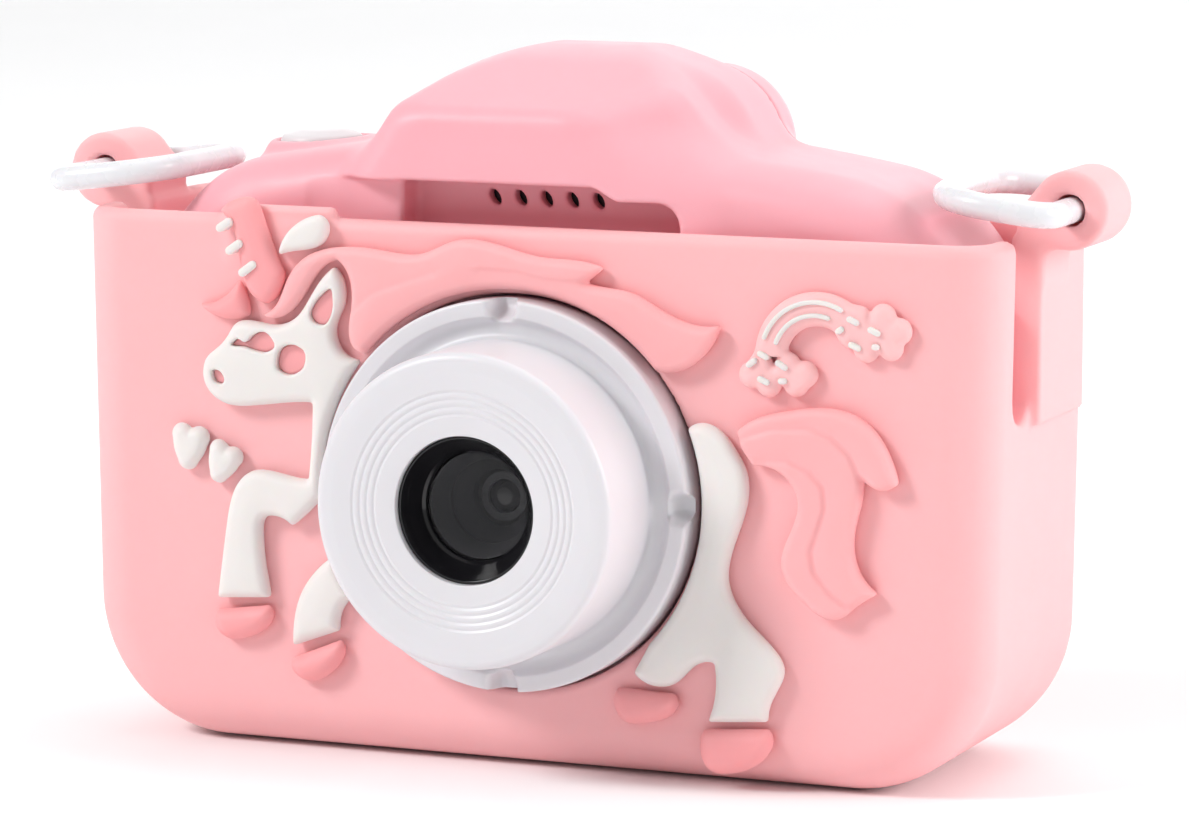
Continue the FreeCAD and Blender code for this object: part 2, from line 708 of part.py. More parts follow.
rear_bump = softened("RearBump", softened("RearBumpSides", block(
    "RearBumpBlock", ("-bump_half", "-2", "sleeve_top + 0.3"),
    ("bump_half", "bump_rear", "bump_top")), "bump_corner",
    lambda middle: abs(middle.x) > value("bump_half") - 0.01 and middle.z > value("bump_top") - 0.01), "1.6",
    lambda middle: middle.y > value("bump_rear") - 0.01 and middle.z > value("sleeve_top") + 0.4)

collar = softened("Collar", rod("CollarRod", ("-shutter_x", "shutter_y", "sleeve_top - 3"),
                                "collar_radius", "collar_top - sleeve_top + 3", "z"), "0.9",
                  lambda middle: middle.z > value("collar_top") - 0.01)

body_mass = fused("BodyMass", body_tub, shoulders, hump, rear_bump, collar)
body_solid = cut("BodySolid", body_mass, hood_recess)

FAR = "sleeve_width"
front_half = block("FrontHalf", ("-" + FAR, "-" + FAR, "-1"), (FAR, "parting + 0.02", FAR))
rear_half = block("RearHalf", ("-" + FAR, "parting", "-1"), (FAR, FAR, FAR))

inside = "(sleeve_wall + body_gap + body_wall)"
main_cavity = softened("MainCavity", block(
    "MainCavityBlock",
    ("-sleeve_foot / 2 + " + inside, "-sleeve_depth / 2 + " + inside, inside),
    ("sleeve_foot / 2 - " + inside, "sleeve_depth / 2 - " + inside, "sleeve_top - 4")), "9",
    lambda middle: abs(middle.y) < 1 and abs(middle.x) > 40 and middle.z < 10)
shoulder_cavity = block("ShoulderCavity", ("-37", "-7.5", "sleeve_top - 5"),
                        ("37", "8.5", "sleeve_top + 1.5"))
hump_cavity = block("HumpCavity", ("-11", "-recess_back + body_wall", "sleeve_top - 5"),
                    ("11", "parting - 0.6", "hump_crest - 1.8"))
bump_cavity = block("BumpCavity", ("-12", "parting - 0.6", "sleeve_top - 5"),
                    ("12", "bump_rear - body_wall", "bump_top - 3"))
cavity = fused("Cavity", main_cavity, shoulder_cavity, hump_cavity, bump_cavity)

# screw posts run from the front wall to the rear half
POSTS = [(-39.0, 9.0), (39.0, 9.0), (-41.0, 45.0), (41.0, 45.0)]
STANDOFFS = [(-31.0, 7.8), (31.0, 7.8), (-31.0, 43.6), (31.0, 43.6)]
front_inside = "-sleeve_depth / 2 + sleeve_wall + body_gap + body_wall - 0.3"
posts = [rod("Post%d" % index, (str(x), front_inside, str(z)), "2.6", "parting - (%s)" % front_inside)
         for index, (x, z) in enumerate(POSTS, start=1)]
post_bores = [rod("PostBore%d" % index, (str(x), "-2", str(z)), "1.05", "parting + 4")
              for index, (x, z) in enumerate(POSTS, start=1)]
standoffs = [rod("Standoff%d" % index, (str(x), front_inside, str(z)), "2.2",
                 "board_front - (%s)" % front_inside) for index, (x, z) in enumerate(STANDOFFS, start=1)]
standoff_bores = [rod("StandoffBore%d" % index, (str(x), "-1", str(z)), "0.8", "board_front + 3")
                  for index, (x, z) in enumerate(STANDOFFS, start=1)]

front_shell = cut("FrontShell", body_solid, cavity, rear_half)
front_posts = fused("FrontWithPosts", front_shell, *posts, *standoffs)
spigot_hole = rod("SpigotHole", ("-lens_x", "-sleeve_depth / 2", "lens_height"), "10.2", "6")
shutter_hole = rod("ShutterHole", ("-shutter_x", "shutter_y", "sleeve_top - 1"),
                   "shutter_radius + running_gap", "12", "z")
speaker_holes = [
    rod("SpeakerHole%d" % index, (str(2.73 * (index - 3)), "-recess_back - 3", "hood_bottom - 1.9"),
        "0.55", "6") for index in range(1, 6)]
usb_hole = block("UsbHole", ("-sleeve_width / 2", "1.4", "12.2"), ("-40", "5.0", "21.8"))
card_hole = block("CardHole", ("-sleeve_width / 2", "2.6", "22.3"), ("-40", "4.1", "33.7"))
front_housing = cut("FrontHousing", front_posts, spigot_hole, shutter_hole, *speaker_holes,
                    usb_hole, card_hole, *post_bores, *standoff_bores)
name_part(front_housing, "front_housing")

KEYS = {
    "key_ok": (-26.5, 26.0),
    "key_up": (-26.5, 34.5),
    "key_down": (-26.5, 17.5),
    "key_right": (-35.0, 26.0),
    "key_left": (-18.0, 26.0),
    "key_playback": (-35.0, 39.0),
    "power_button": (-18.0, 39.0),
}
panel_front = "sleeve_depth / 2 - (%s)" % inside
panel_rear = "sleeve_depth / 2 - sleeve_wall - body_gap"
key_holes = [rod("Hole_" + label, (str(x), "parting", str(z)), "key_radius + running_gap", "9")
             for label, (x, z) in KEYS.items()]
screen_hole = block(
    "ScreenHole", ("screen_x - screen_width / 2", "parting", "screen_height - screen_tall / 2"),
    ("screen_x + screen_width / 2", "sleeve_depth", "screen_height + screen_tall / 2"))
selfie_hole = rod("SelfieHole", ("0", "parting + 2", "60.6"), "3.2", "9")
screw_holes = [rod("ScrewHole%d" % index, (str(x), "parting - 1", str(z)), "1.15", "9")
               for index, (x, z) in enumerate(POSTS, start=1)]
head_holes = [rod("HeadHole%d" % index, (str(x), "parting + 3.3", str(z)), "2.1", "9")
              for index, (x, z) in enumerate(POSTS, start=1)]
rear_posts = [rod("RearPost%d" % index, (str(x), "parting + 0.02", str(z)), "3.1", "3.6")
              for index, (x, z) in enumerate(POSTS, start=1)]
rear_shell = cut("RearShell", body_solid, cavity, front_half)
rear_housing = cut("RearHousing", fused("RearWithPosts", rear_shell, *rear_posts), screen_hole,
                   selfie_hole, *key_holes, *screw_holes, *head_holes)
name_part(rear_housing, "rear_housing")


# ---------------------------------------------------------------- front lens

GROOVES = ["9.3", "10.0", "10.7", "11.4"]
dish = "(barrel_front - dish_depth * (13.4 - (%s)) / 6.3)"
profile = [("eye_radius", "-(barrel_front - dish_depth)")]
for groove in GROOVES:
    for shift, depth in ((-0.16, 0), (0, 0.14), (0.16, 0)):
        spot = "%s + %s" % (groove, shift)
        profile.append((spot, "-%s + %s" % (dish % spot, depth)))
profile += [
    ("13.4", "-barrel_front"),
    ("barrel_radius", "-barrel_front"),
    ("barrel_radius", "-barrel_foot"),
    ("barrel_radius + 0.9", "-barrel_foot + 0.55"),
    ("barrel_radius + 2.4", "-base_face"),
    ("base_radius", "-base_face"),
    ("base_radius", "-sleeve_depth / 2 + sleeve_wall"),
    ("10.0", "-sleeve_depth / 2 + sleeve_wall"),
    ("10.0", "-sleeve_depth / 2 + sleeve_wall + 2.2"),
    ("eye_radius", "-sleeve_depth / 2 + sleeve_wall + 2.2"),
]
barrel = turned("LensBarrel", profile, "-lens_x", "0", "lens_height")


def rim(radius, front):
    """Test for the barrel's round edge of a given radius at a given distance in front of the origin."""
    return lambda middle, along: (abs(math.hypot(middle.x, middle.z) - value(radius)) < 0.05
                                  and abs(middle.y + value(front)) < 0.05)


add_round(barrel, "barrel_edge", rim("barrel_radius", "barrel_front"))
add_round(barrel, "1.2", rim("base_radius", "base_face"))
notch_sketch = add_sketch(barrel, "RimNotch", "XZ_Plane", "base_face - notch_depth")
add_outline(notch_sketch, [
    ("-notch_width / 2", "base_radius + 1"),
    ("-notch_width / 4", "base_radius - notch_reach"),
    ("notch_width / 4", "base_radius - notch_reach"),
    ("notch_width / 2", "base_radius + 1"),
])
notch = add_pocket(barrel, notch_sketch, "notch_depth + 2", reverse=True)
notches = barrel.newObject("PartDesign::PolarPattern", "RimNotches")
notches.Originals = [notch]
notches.Axis = (notch_sketch, ["N_Axis"])
notches.Angle = 360
notches.Occurrences = 4
barrel.Tip = notches
doc.recompute()
name_part(barrel, "lens_barrel")

bezel = turned("LensBezel", [
    ("eye_radius - 0.25", "-(barrel_front - dish_depth - 0.5)"),
    ("eye_radius - 0.05", "-(barrel_front - dish_depth - 0.65)"),
    ("eye_radius - 0.05", "-eye_back"),
    ("4.3", "-eye_back"),
    ("4.3", "-eye_back - 1.6"),
    ("window_radius + 0.1", "-eye_back - 2.2"),
    ("window_radius + 0.1", "-window_face - 0.1"),
    ("window_radius + 0.5", "-window_face - 0.5"),
    ("eye_radius - 0.75", "-window_face - 1.8"),
], "-lens_x", "0", "lens_height")
name_part(bezel, "lens_bezel")
window = turned("LensWindow", [
    ("0", "-window_face"),
    ("window_radius", "-window_face"),
    ("window_radius", "-window_face + 0.5"),
    ("0", "-window_face + 0.5"),
], "-lens_x", "0", "lens_height")
name_part(window, "lens_window")
cone = turned("LensCone", [
    ("window_radius", "-window_face + 0.6"),
    ("window_radius", "-window_face + 1.2"),
    ("3.2", "-eye_back - 1.8"),
    ("2.7", "-eye_back - 1.8"),
], "-lens_x", "0", "lens_height")
name_part(cone, "lens_cone")
module = turned("CameraModule", [
    ("1.7", "-18.2"), ("2.4", "-18.2"), ("3.0", "-17.6"), ("4.2", "-17.6"), ("4.2", "-13.0"),
    ("0", "-13.0"), ("0", "-16.6"), ("1.7", "-16.6"),
], "-lens_x", "0", "lens_height")
module_foot = block("ModuleFoot", ("-lens_x - 4.5", "-13.0", "lens_height - 4.5"),
                    ("-lens_x + 4.5", "-10.9", "lens_height + 4.5"))
name_part(fused("FrontCamera", module, module_foot), "front_camera_module")
element = turned("LensElement", [
    ("0", "-17.9"), ("0.8", "-17.8"), ("1.6", "-17.4"), ("1.6", "-16.7"), ("0", "-16.7"),
], "-lens_x", "0", "lens_height")
name_part(element, "front_camera_lens")


# ---------------------------------------------------------------- buttons

shutter = turned("Shutter", [
    ("0", "shutter_top - 0.05"), ("1.8", "shutter_top - 0.15"), ("3.2", "shutter_top - 0.45"),
    ("shutter_radius - 0.3", "shutter_top - 0.8"), ("shutter_radius", "shutter_top - 1.3"),
    ("shutter_radius", "sleeve_top + 1.1"), ("shutter_radius + 0.9", "sleeve_top + 1.1"),
    ("shutter_radius + 0.9", "sleeve_top + 0.3"), ("0", "sleeve_top + 0.3"),
], "-shutter_x", "shutter_y", "0", upright=True)
name_part(shutter, "shutter_button")

for label, (key_x, key_z) in KEYS.items():
    key = turned("Cap_" + label, [
        ("0", "%s - 0.9" % panel_front), ("key_radius + 0.6", "%s - 0.9" % panel_front),
        ("key_radius + 0.6", "%s - 0.15" % panel_front), ("key_radius", "%s - 0.15" % panel_front),
        ("key_radius", "key_rear - 0.5"), ("key_radius - 0.5", "key_rear - 0.1"),
        ("0", "key_rear"),
    ], str(key_x), "0", str(key_z))
    name_part(key, label)


# ---------------------------------------------------------------- display and electronics

display_front = "(sleeve_depth / 2 - %s) - 1.2" % inside
name_part(block("DisplayWindow",
                ("screen_x - screen_width / 2 + 0.1", panel_front, "screen_height - screen_tall / 2 + 0.1"),
                ("screen_x + screen_width / 2 - 0.1", "(%s) - 0.3" % panel_rear,
                 "screen_height + screen_tall / 2 - 0.1")), "display_window")
name_part(block("Display",
                ("screen_x - screen_width / 2 - 0.6", "%s - 1.5" % display_front,
                 "screen_height - screen_tall / 2 - 0.6"),
                ("screen_x + screen_width / 2 + 0.6", "%s + 1.1" % display_front,
                 "screen_height + screen_tall / 2 + 0.6")), "display_module")

board_blank = fused("BoardBlank",
                    block("BoardMain", ("-36", "board_front", "5.4"), ("36", "board_rear", "46.4")),
                    block("BoardTab", ("-43", "board_front", "12"), ("-35", "board_rear", "34")))
board_holes = [rod("BoardHole%d" % index, (str(x), "board_front - 1", str(z)), "1.1", "4")
               for index, (x, z) in enumerate(STANDOFFS, start=1)]
name_part(cut("MainBoard", board_blank, *board_holes), "main_board")
name_part(group("BoardChips",
                block("Processor", ("-20", "board_front - 1.2", "12"), ("-10", "board_front", "22")),
                block("MemoryChip", ("-20", "board_front - 1.0", "26"), ("-12", "board_front", "34")),
                block("PowerChip", ("-28", "board_front - 1.0", "12"), ("-23", "board_front", "17"))),
          "board_chips")
name_part(block("KeyBoard", ("-39", "board_rear + 1.4", "13.2"), ("-13.8", "board_rear + 2.2", "42")),
          "key_board")
switch_base = "board_rear + 2.2"


def tact_switch(name, x, y, z, upright=False):
    """Square push switch with a round plunger, facing +Y, or +Z when upright."""
    if upright:
        case = block(name + "Case", (x + " - 2", y + " - 2", z), (x + " + 2", y + " + 2", z + " + 1.3"))
        plunger = rod(name + "Plunger", (x, y, z + " + 1.3"), "0.9", "0.4", "z")
    else:
        case = block(name + "Case", (x + " - 2", y, z + " - 2"), (x + " + 2", y + " + 1.1", z + " + 2"))
        plunger = rod(name + "Plunger", (x, y + " + 1.1", z), "0.9", "0.25")
    return fused(name, case, plunger)


rear_switches = [tact_switch("Switch_" + label, str(x), switch_base, str(z))
                 for label, (x, z) in KEYS.items()]
name_part(group("RearSwitches", *rear_switches), "rear_key_switches")
name_part(block("ShutterBoard", ("-shutter_x - 4", "shutter_y - 3.5", "sleeve_top - 3.6"),
                ("-shutter_x + 4", "shutter_y + 3.5", "sleeve_top - 2.8")), "shutter_board")
name_part(tact_switch("ShutterSwitch", "-shutter_x", "shutter_y", "sleeve_top - 2.8", True),
          "shutter_switch")

name_part(softened("Battery", block("BatteryBlock", ("13", "-10.4", "11.5"), ("38", "-4.4", "40")), "0.8",
                   lambda middle: abs(middle.z - 25.75) < 0.1), "battery")
name_part(rod("Speaker", ("0", "-recess_back + body_wall + 0.1", "hood_bottom - 1.9"), "6.3", "3.4"),
          "speaker")
name_part(rod("Microphone", ("-24", "board_front - 1.8", "40"), "2.2", "1.8"), "microphone")

usb_block = block("UsbShellBlock", ("-44.2", "1.7", "12.5"), ("-37", "board_front", "21.5"))
usb_shell = softened("UsbShell", usb_block, "1.2", lambda middle: abs(middle.x + 40.6) < 0.1 and middle.y < 2)
usb_mouth = block("UsbMouth", ("-45", "2.1", "12.9"), ("-38", "4.6", "21.1"))
usb_tongue = block("UsbTongue", ("-43.4", "3.1", "13.8"), ("-37.5", "3.6", "20.2"))
name_part(fused("UsbSocket", cut("UsbCan", usb_shell, usb_mouth), usb_tongue), "usb_socket")

card_can = block("CardCan", ("-42.9", "2.4", "21.9"), ("-28.6", "board_front", "34.1"))
card_bay = block("CardBay", ("-45", "2.85", "22.4"), ("-29.6", "3.95", "33.6"))
name_part(cut("CardSocket", card_can, card_bay), "card_socket")
name_part(block("MemoryCard", ("-44.9", "2.95", "22.5"), ("-30.0", "3.85", "33.5")), "memory_card")

name_part(block("SelfieCamera", ("-3.4", "parting - 0.1", "57.2"),
                ("3.4", "bump_rear - body_wall - 0.3", "64.0")), "rear_camera_module")
name_part(rod("SelfieWindow", ("0", "bump_rear - body_wall", "60.6"), "3.1", "body_wall - 0.2"),
          "rear_camera_window")

screws = []
for index, (x, z) in enumerate(POSTS, start=1):
    shank = rod("Shank%d" % index, (str(x), "0.6", str(z)), "1.0", "parting + 2.8")
    head_disc = rod("ScrewHead%d" % index, (str(x), "parting + 3.35", str(z)), "1.9", "1.0")
    screws.append(fused("Screw%d" % index, shank, head_disc))
name_part(group("HousingScrews", *screws), "housing_screws")
small_screws = []
for index, (x, z) in enumerate(STANDOFFS, start=1):
    shank = rod("SmallShank%d" % index, (str(x), "0.8", str(z)), "0.75", "board_rear - 0.75")
    head_disc = rod("SmallHead%d" % index, (str(x), "board_rear + 0.05", str(z)), "1.5", "0.8")
    small_screws.append(fused("SmallScrew%d" % index, shank, head_disc))
name_part(group("BoardScrews", *small_screws), "board_screws")


def lead(name, points, radius, bend):
    """Insulated lead along straight runs joined by tangent arcs at the inner points."""
    pieces = []
    start = Vector(*points[0])
    for index in range(1, len(points) - 1):
        corner = Vector(*points[index])
        before = (Vector(*points[index - 1]) - corner).normalize()
        after = (Vector(*points[index + 1]) - corner).normalize()
        half = before.getAngle(after) / 2
        set_back = bend / math.tan(half)
        arc_start = corner + before * set_back
        arc_end = corner + after * set_back
        inward = (before + after).normalize()
        middle = corner + inward * (bend / math.sin(half) - bend)
        pieces.append(Part.LineSegment(start, arc_start).toShape())
        pieces.append(Part.Arc(arc_start, middle, arc_end).toShape())
        start = arc_end
    end = Vector(*points[-1])
    pieces.append(Part.LineSegment(start, end).toShape())
    path = Part.Wire(pieces)
    heading = (Vector(*points[1]) - Vector(*points[0])).normalize()
    section = Part.Wire([Part.Circle(Vector(*points[0]), heading, radius).toShape()])
    solid = doc.addObject("Part::Feature", name)
    solid.Shape = path.makePipeShell([section], True, False)
    solid.Placement = FreeCAD.Placement()
    return solid


board_face = value("board_front")
name_part(group("BatteryLeads", *[
    lead("BatteryLead%d" % index, [(x, -7.4, 40.0), (x, -7.4, 45.0), (x, board_face, 45.0)], 0.45, 2.0)
    for index, x in enumerate((24.0, 26.0), start=1)]), "battery_leads")
name_part(group("SpeakerLeads", *[
    lead("SpeakerLead%d" % index, [(x, -value("recess_back - body_wall") + 3.5, 53.0), (x, 1.5, 53.0),
                                   (x, 1.5, 43.0), (x, board_face, 43.0)], 0.4, 1.4)
    for index, x in enumerate((-1.2, 1.2), start=1)]), "speaker_leads")
name_part(block("CameraFlex", ("-lens_x - 3", "-10.85", "lens_height - 2"),
                ("-lens_x + 3", "board_front", "lens_height - 1.8")), "front_camera_flex")
name_part(block("SelfieFlex", ("-2.5", "parting - 0.4", "44"), ("2.5", "parting - 0.15", "60")),
          "rear_camera_flex")


# ---------------------------------------------------------------- checks and files

doc.recompute()
for item in doc.Objects:
    if "Invalid" in item.State or "Error" in item.State:
        raise ValueError("%s failed: %s" % (item.Name, item.State))
for item in SUBPARTS:
    if item.Shape.isNull() or not item.Shape.isValid():
        raise ValueError(item.Label + " has no valid shape")
os.makedirs("parts", exist_ok=True)
for item in SUBPARTS:
    item.Shape.exportStep("parts/%s.step" % item.Label)
print(len(SUBPARTS), "sub-parts written")
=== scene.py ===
import json
import math

import bpy
import numpy as np
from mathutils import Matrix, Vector


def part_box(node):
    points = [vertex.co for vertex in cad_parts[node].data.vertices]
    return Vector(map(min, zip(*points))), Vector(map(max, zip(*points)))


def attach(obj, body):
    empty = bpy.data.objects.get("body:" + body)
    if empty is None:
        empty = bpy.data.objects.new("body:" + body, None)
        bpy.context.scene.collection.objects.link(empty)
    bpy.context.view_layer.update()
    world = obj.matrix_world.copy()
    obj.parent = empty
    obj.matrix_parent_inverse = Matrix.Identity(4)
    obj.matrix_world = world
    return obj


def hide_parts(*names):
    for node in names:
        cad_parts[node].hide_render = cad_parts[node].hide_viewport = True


# A children's digital camera in a soft silicone sleeve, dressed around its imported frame.
# Lengths in this file are millimetres until a mesh is made. +Z is up and the lens looks along -Y.

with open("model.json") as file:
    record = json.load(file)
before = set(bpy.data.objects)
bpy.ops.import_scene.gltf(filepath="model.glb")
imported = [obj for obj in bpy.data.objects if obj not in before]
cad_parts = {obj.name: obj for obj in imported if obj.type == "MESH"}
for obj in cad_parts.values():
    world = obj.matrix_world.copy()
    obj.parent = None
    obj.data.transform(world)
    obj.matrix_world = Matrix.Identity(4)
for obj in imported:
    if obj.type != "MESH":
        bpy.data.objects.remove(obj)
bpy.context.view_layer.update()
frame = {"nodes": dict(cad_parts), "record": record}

MM = 0.001
COARSE = 1.0


# ---------------------------------------------------------------- distance shapes

def meet(a, b, radius=0.0):
    """What two distance fields share, with their common edge rounded."""
    outside = np.hypot(np.maximum(a + radius, 0), np.maximum(b + radius, 0))
    return np.minimum(np.maximum(a, b), -radius) + outside


def join(a, b, radius=0.0):
    """Both distance fields together, with a fillet in the corner between them."""
    return -meet(-a, -b, radius)


def less(a, b, radius=0.0):
    """The first field with the second cut away and the cut's edge rounded."""
    return meet(a, -b, radius)


def slab(v, low, high):
    """Distance to the space between two parallel planes."""
    return np.abs(v - (low + high) / 2) - (high - low) / 2


def box(point, low, high, radius=0.0):
    """Rounded box between two corners."""
    sides = [slab(v, a, b) + radius for v, a, b in zip(point, low, high)]
    outside = np.sqrt(sum(np.maximum(side, 0) ** 2 for side in sides))
    return outside + np.minimum(np.maximum(np.maximum(*sides[:2]), sides[2]), 0) - radius


def plate(u, v, low, high, radius):
    """Rounded rectangle in two of the axes."""
    return meet(slab(u, low[0], high[0]), slab(v, low[1], high[1]), radius)


def slope(u, v, start, end):
    """Distance to the left of the line from start to end."""
    du, dv = end[0] - start[0], end[1] - start[1]
    return ((u - start[0]) * dv - (v - start[1]) * du) / math.hypot(du, dv)


def ease(v, low, high):
    """Smooth step from 0 at low to 1 at high."""
    t = np.clip((v - low) / (high - low), 0, 1)
    return t * t * (3 - 2 * t)


# ---------------------------------------------------------------- mesh making

def new_object(name, points, faces, body, node=None, slot=None, finish=None):
    """Smooth-shaded piece from points in millimetres and quads or triangles, riding on a body."""
    mesh = bpy.data.meshes.new(name)
    mesh.from_pydata((np.asarray(points) * MM).tolist(), [], [list(face) for face in faces])
    mesh.polygons.foreach_set("use_smooth", np.ones(len(mesh.polygons), bool))
    mesh.update()
    piece = bpy.data.objects.new(name, mesh)
    bpy.context.scene.collection.objects.link(piece)
    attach(piece, body)
    if node:
        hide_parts(*([node] if isinstance(node, str) else node))
    if finish:
        mesh.materials.append(finish)
    return piece


def steps(low, high, cell, fine=None):
    """Grid line positions from low to high, closer together in the fine band (low, high, cell)."""
    cell = cell * COARSE
    low, high = low - 2 * cell, high + 3 * cell
    if fine is None:
        return np.arange(low, high, cell)
    start, end, small = fine
    return np.concatenate([np.arange(low, start, cell), np.arange(start, end, small * COARSE),
                           np.arange(end, high, cell)])


def surface(shape, axes):
    """Quads on the zero level of a distance shape, by surface nets, drawn onto the true surface."""
    grid = shape(*np.meshgrid(*axes, indexing="ij", sparse=True))
    grid = np.broadcast_to(grid, [len(axis) for axis in axes]).astype(np.float32)
    inside = grid < 0
    corners = [(i, j, k) for i in (0, 1) for j in (0, 1) for k in (0, 1)]
    size = [len(axis) - 1 for axis in axes]
    filled = np.zeros(size, np.uint8)
    for i, j, k in corners:
        filled += inside[i:size[0] + i, j:size[1] + j, k:size[2] + k]
    active = (filled > 0) & (filled < 8)
    cells = np.argwhere(active)
    index = np.full(size, -1, np.int64)
    index[active] = np.arange(len(cells))
    total, hits = np.zeros((len(cells), 3)), np.zeros((len(cells), 1))
    for corner in corners:
        for axis in range(3):
            if corner[axis]:
                continue
            start = cells + corner
            end = start.copy()
            end[:, axis] += 1
            a, b = grid[tuple(start.T)], grid[tuple(end.T)]
            crossed = (a < 0) != (b < 0)
            share = np.where(crossed, a / np.where(crossed, a - b, 1), 0)
            place = np.stack([axes[d][start[:, d]] for d in range(3)], 1)
            place[:, axis] += share * (axes[axis][end[:, axis]] - axes[axis][start[:, axis]])
            total += place * crossed[:, None]
            hits += crossed[:, None]
    points = settle(shape, total / hits, min(np.diff(axis).min() for axis in axes))
    faces = []
    for axis in range(3):
        u, v = (axis + 1) % 3, (axis + 2) % 3
        count = len(axes[axis])
        lower = inside.take(range(count - 1), axis)
        edges = np.argwhere(lower != inside.take(range(1, count), axis))
        within = (edges[:, u] > 0) & (edges[:, u] < size[u])
        within &= (edges[:, v] > 0) & (edges[:, v] < size[v])
        edges = edges[within]
        quad = []
        for du, dv in ((-1, -1), (0, -1), (0, 0), (-1, 0)):
            near = edges.copy()
            near[:, u] += du
            near[:, v] += dv
            quad.append(index[tuple(near.T)])
        quad = np.stack(quad, 1)
        outward = lower[tuple(edges.T)]
        faces.append(np.where(outward[:, None], quad, quad[:, ::-1]))
    return points, np.concatenate(faces)


def settle(shape, points, cell, rounds=3, nudge=0.02):
    """Moves points onto the zero level along the field's own gradient."""
    for _ in range(rounds):
        x, y, z = points.T
        distance = shape(x, y, z)
        gradient = np.stack([
            shape(x + nudge, y, z) - shape(x - nudge, y, z),
            shape(x, y + nudge, z) - shape(x, y - nudge, z),
            shape(x, y, z + nudge) - shape(x, y, z - nudge)], 1) / (2 * nudge)
        step = distance[:, None] * gradient / np.maximum((gradient ** 2).sum(1, keepdims=True), 0.05)
        length = np.linalg.norm(step, axis=1, keepdims=True)
        points = points - step * np.minimum(1, 0.6 * cell / np.maximum(length, 1e-9))
    return points


def moulded(name, shape, axes, body, **where):
    """Piece made from a distance shape."""
    return new_object(name, *surface(shape, axes), body, **where)


def rounded_path(points, closed):
    """Outline through (u, v, radius) corners, each rounded by an arc of that radius."""
    path = []
    count = len(points)
    for index, (u, v, radius) in enumerate(points):
        here = np.array((u, v), float)
        if radius <= 0 or (not closed and index in (0, count - 1)):
            path.append(here)
            continue
        before = np.array(points[index - 1][:2], float) - here
        after = np.array(points[(index + 1) % count][:2], float) - here
        reach_before, reach_after = np.linalg.norm(before), np.linalg.norm(after)
        before, after = before / reach_before, after / reach_after
        half = math.acos(max(-1.0, min(1.0, float(before @ after)))) / 2
        reach = min(radius / math.tan(half), 0.49 * reach_before, 0.49 * reach_after)
        inward = (before + after) / np.linalg.norm(before + after)
        centre = here + inward * reach / math.cos(half)
        first, last = here + before * reach - centre, here + after * reach - centre
        turn = math.atan2(first[0] * last[1] - first[1] * last[0], float(first @ last))
        for share in np.linspace(0, 1, 7):
            angle = turn * share
            path.append(centre + np.array((
                first[0] * math.cos(angle) - first[1] * math.sin(angle),
                first[0] * math.sin(angle) + first[1] * math.cos(angle))))
    return path


def lathe(profile, centre, upright=False, closed=False, segments=192, shape=None):
    """Points and faces of a piece turned about -Y, or about Z when upright.

    The profile is a row of (radius, along, corner radius).
    """
    path = rounded_path(profile, closed)
    points, rings = [], []
    for radius, along in path:
        turns = 1 if radius < 1e-6 else segments
        angles = np.arange(turns) * 2 * math.pi / turns
        u, v = radius * np.cos(angles), radius * np.sin(angles)
        height = np.full(turns, float(along))
        if shape is not None:
            height = shape(u, v, height)
        ring = np.stack([u, v, height] if upright else [u, -height, v], 1) + np.asarray(centre)
        rings.append(list(range(len(points), len(points) + turns)))
        points.extend(ring)
    faces = []
    for index in range(len(rings) if closed else len(rings) - 1):
        a, b = rings[index], rings[(index + 1) % len(rings)]
        for step in range(segments):
            following = (step + 1) % segments
            if len(a) == 1:
                faces.append((a[0], b[step], b[following]))
            elif len(b) == 1:
                faces.append((a[step], b[0], a[following]))
            else:
                faces.append((a[step], b[step], b[following], a[following]))
    return points, faces


def outward(piece):
    """Turns every face of a closed piece to face out."""
    bpy.context.view_layer.objects.active = piece
    volume = 0.0
    for polygon in piece.data.polygons:
        volume += polygon.center.dot(polygon.normal) * polygon.area
    if volume < 0:
        piece.data.flip_normals()
    return piece


def turned(name, profile, centre, body, upright=False, closed=False, segments=192, shape=None,
           **where):
    """Turned piece made from a profile."""
    points, faces = lathe(profile, centre, upright, closed, segments, shape)
    return outward(new_object(name, points, faces, body, **where))


# ---------------------------------------------------------------- materials

def rgb(red, green, blue):
    """Linear colour from display values out of 255."""
    def linear(value):
        value /= 255
        return value / 12.92 if value <= 0.04045 else ((value + 0.055) / 1.055) ** 2.4
    return (linear(red), linear(green), linear(blue), 1.0)


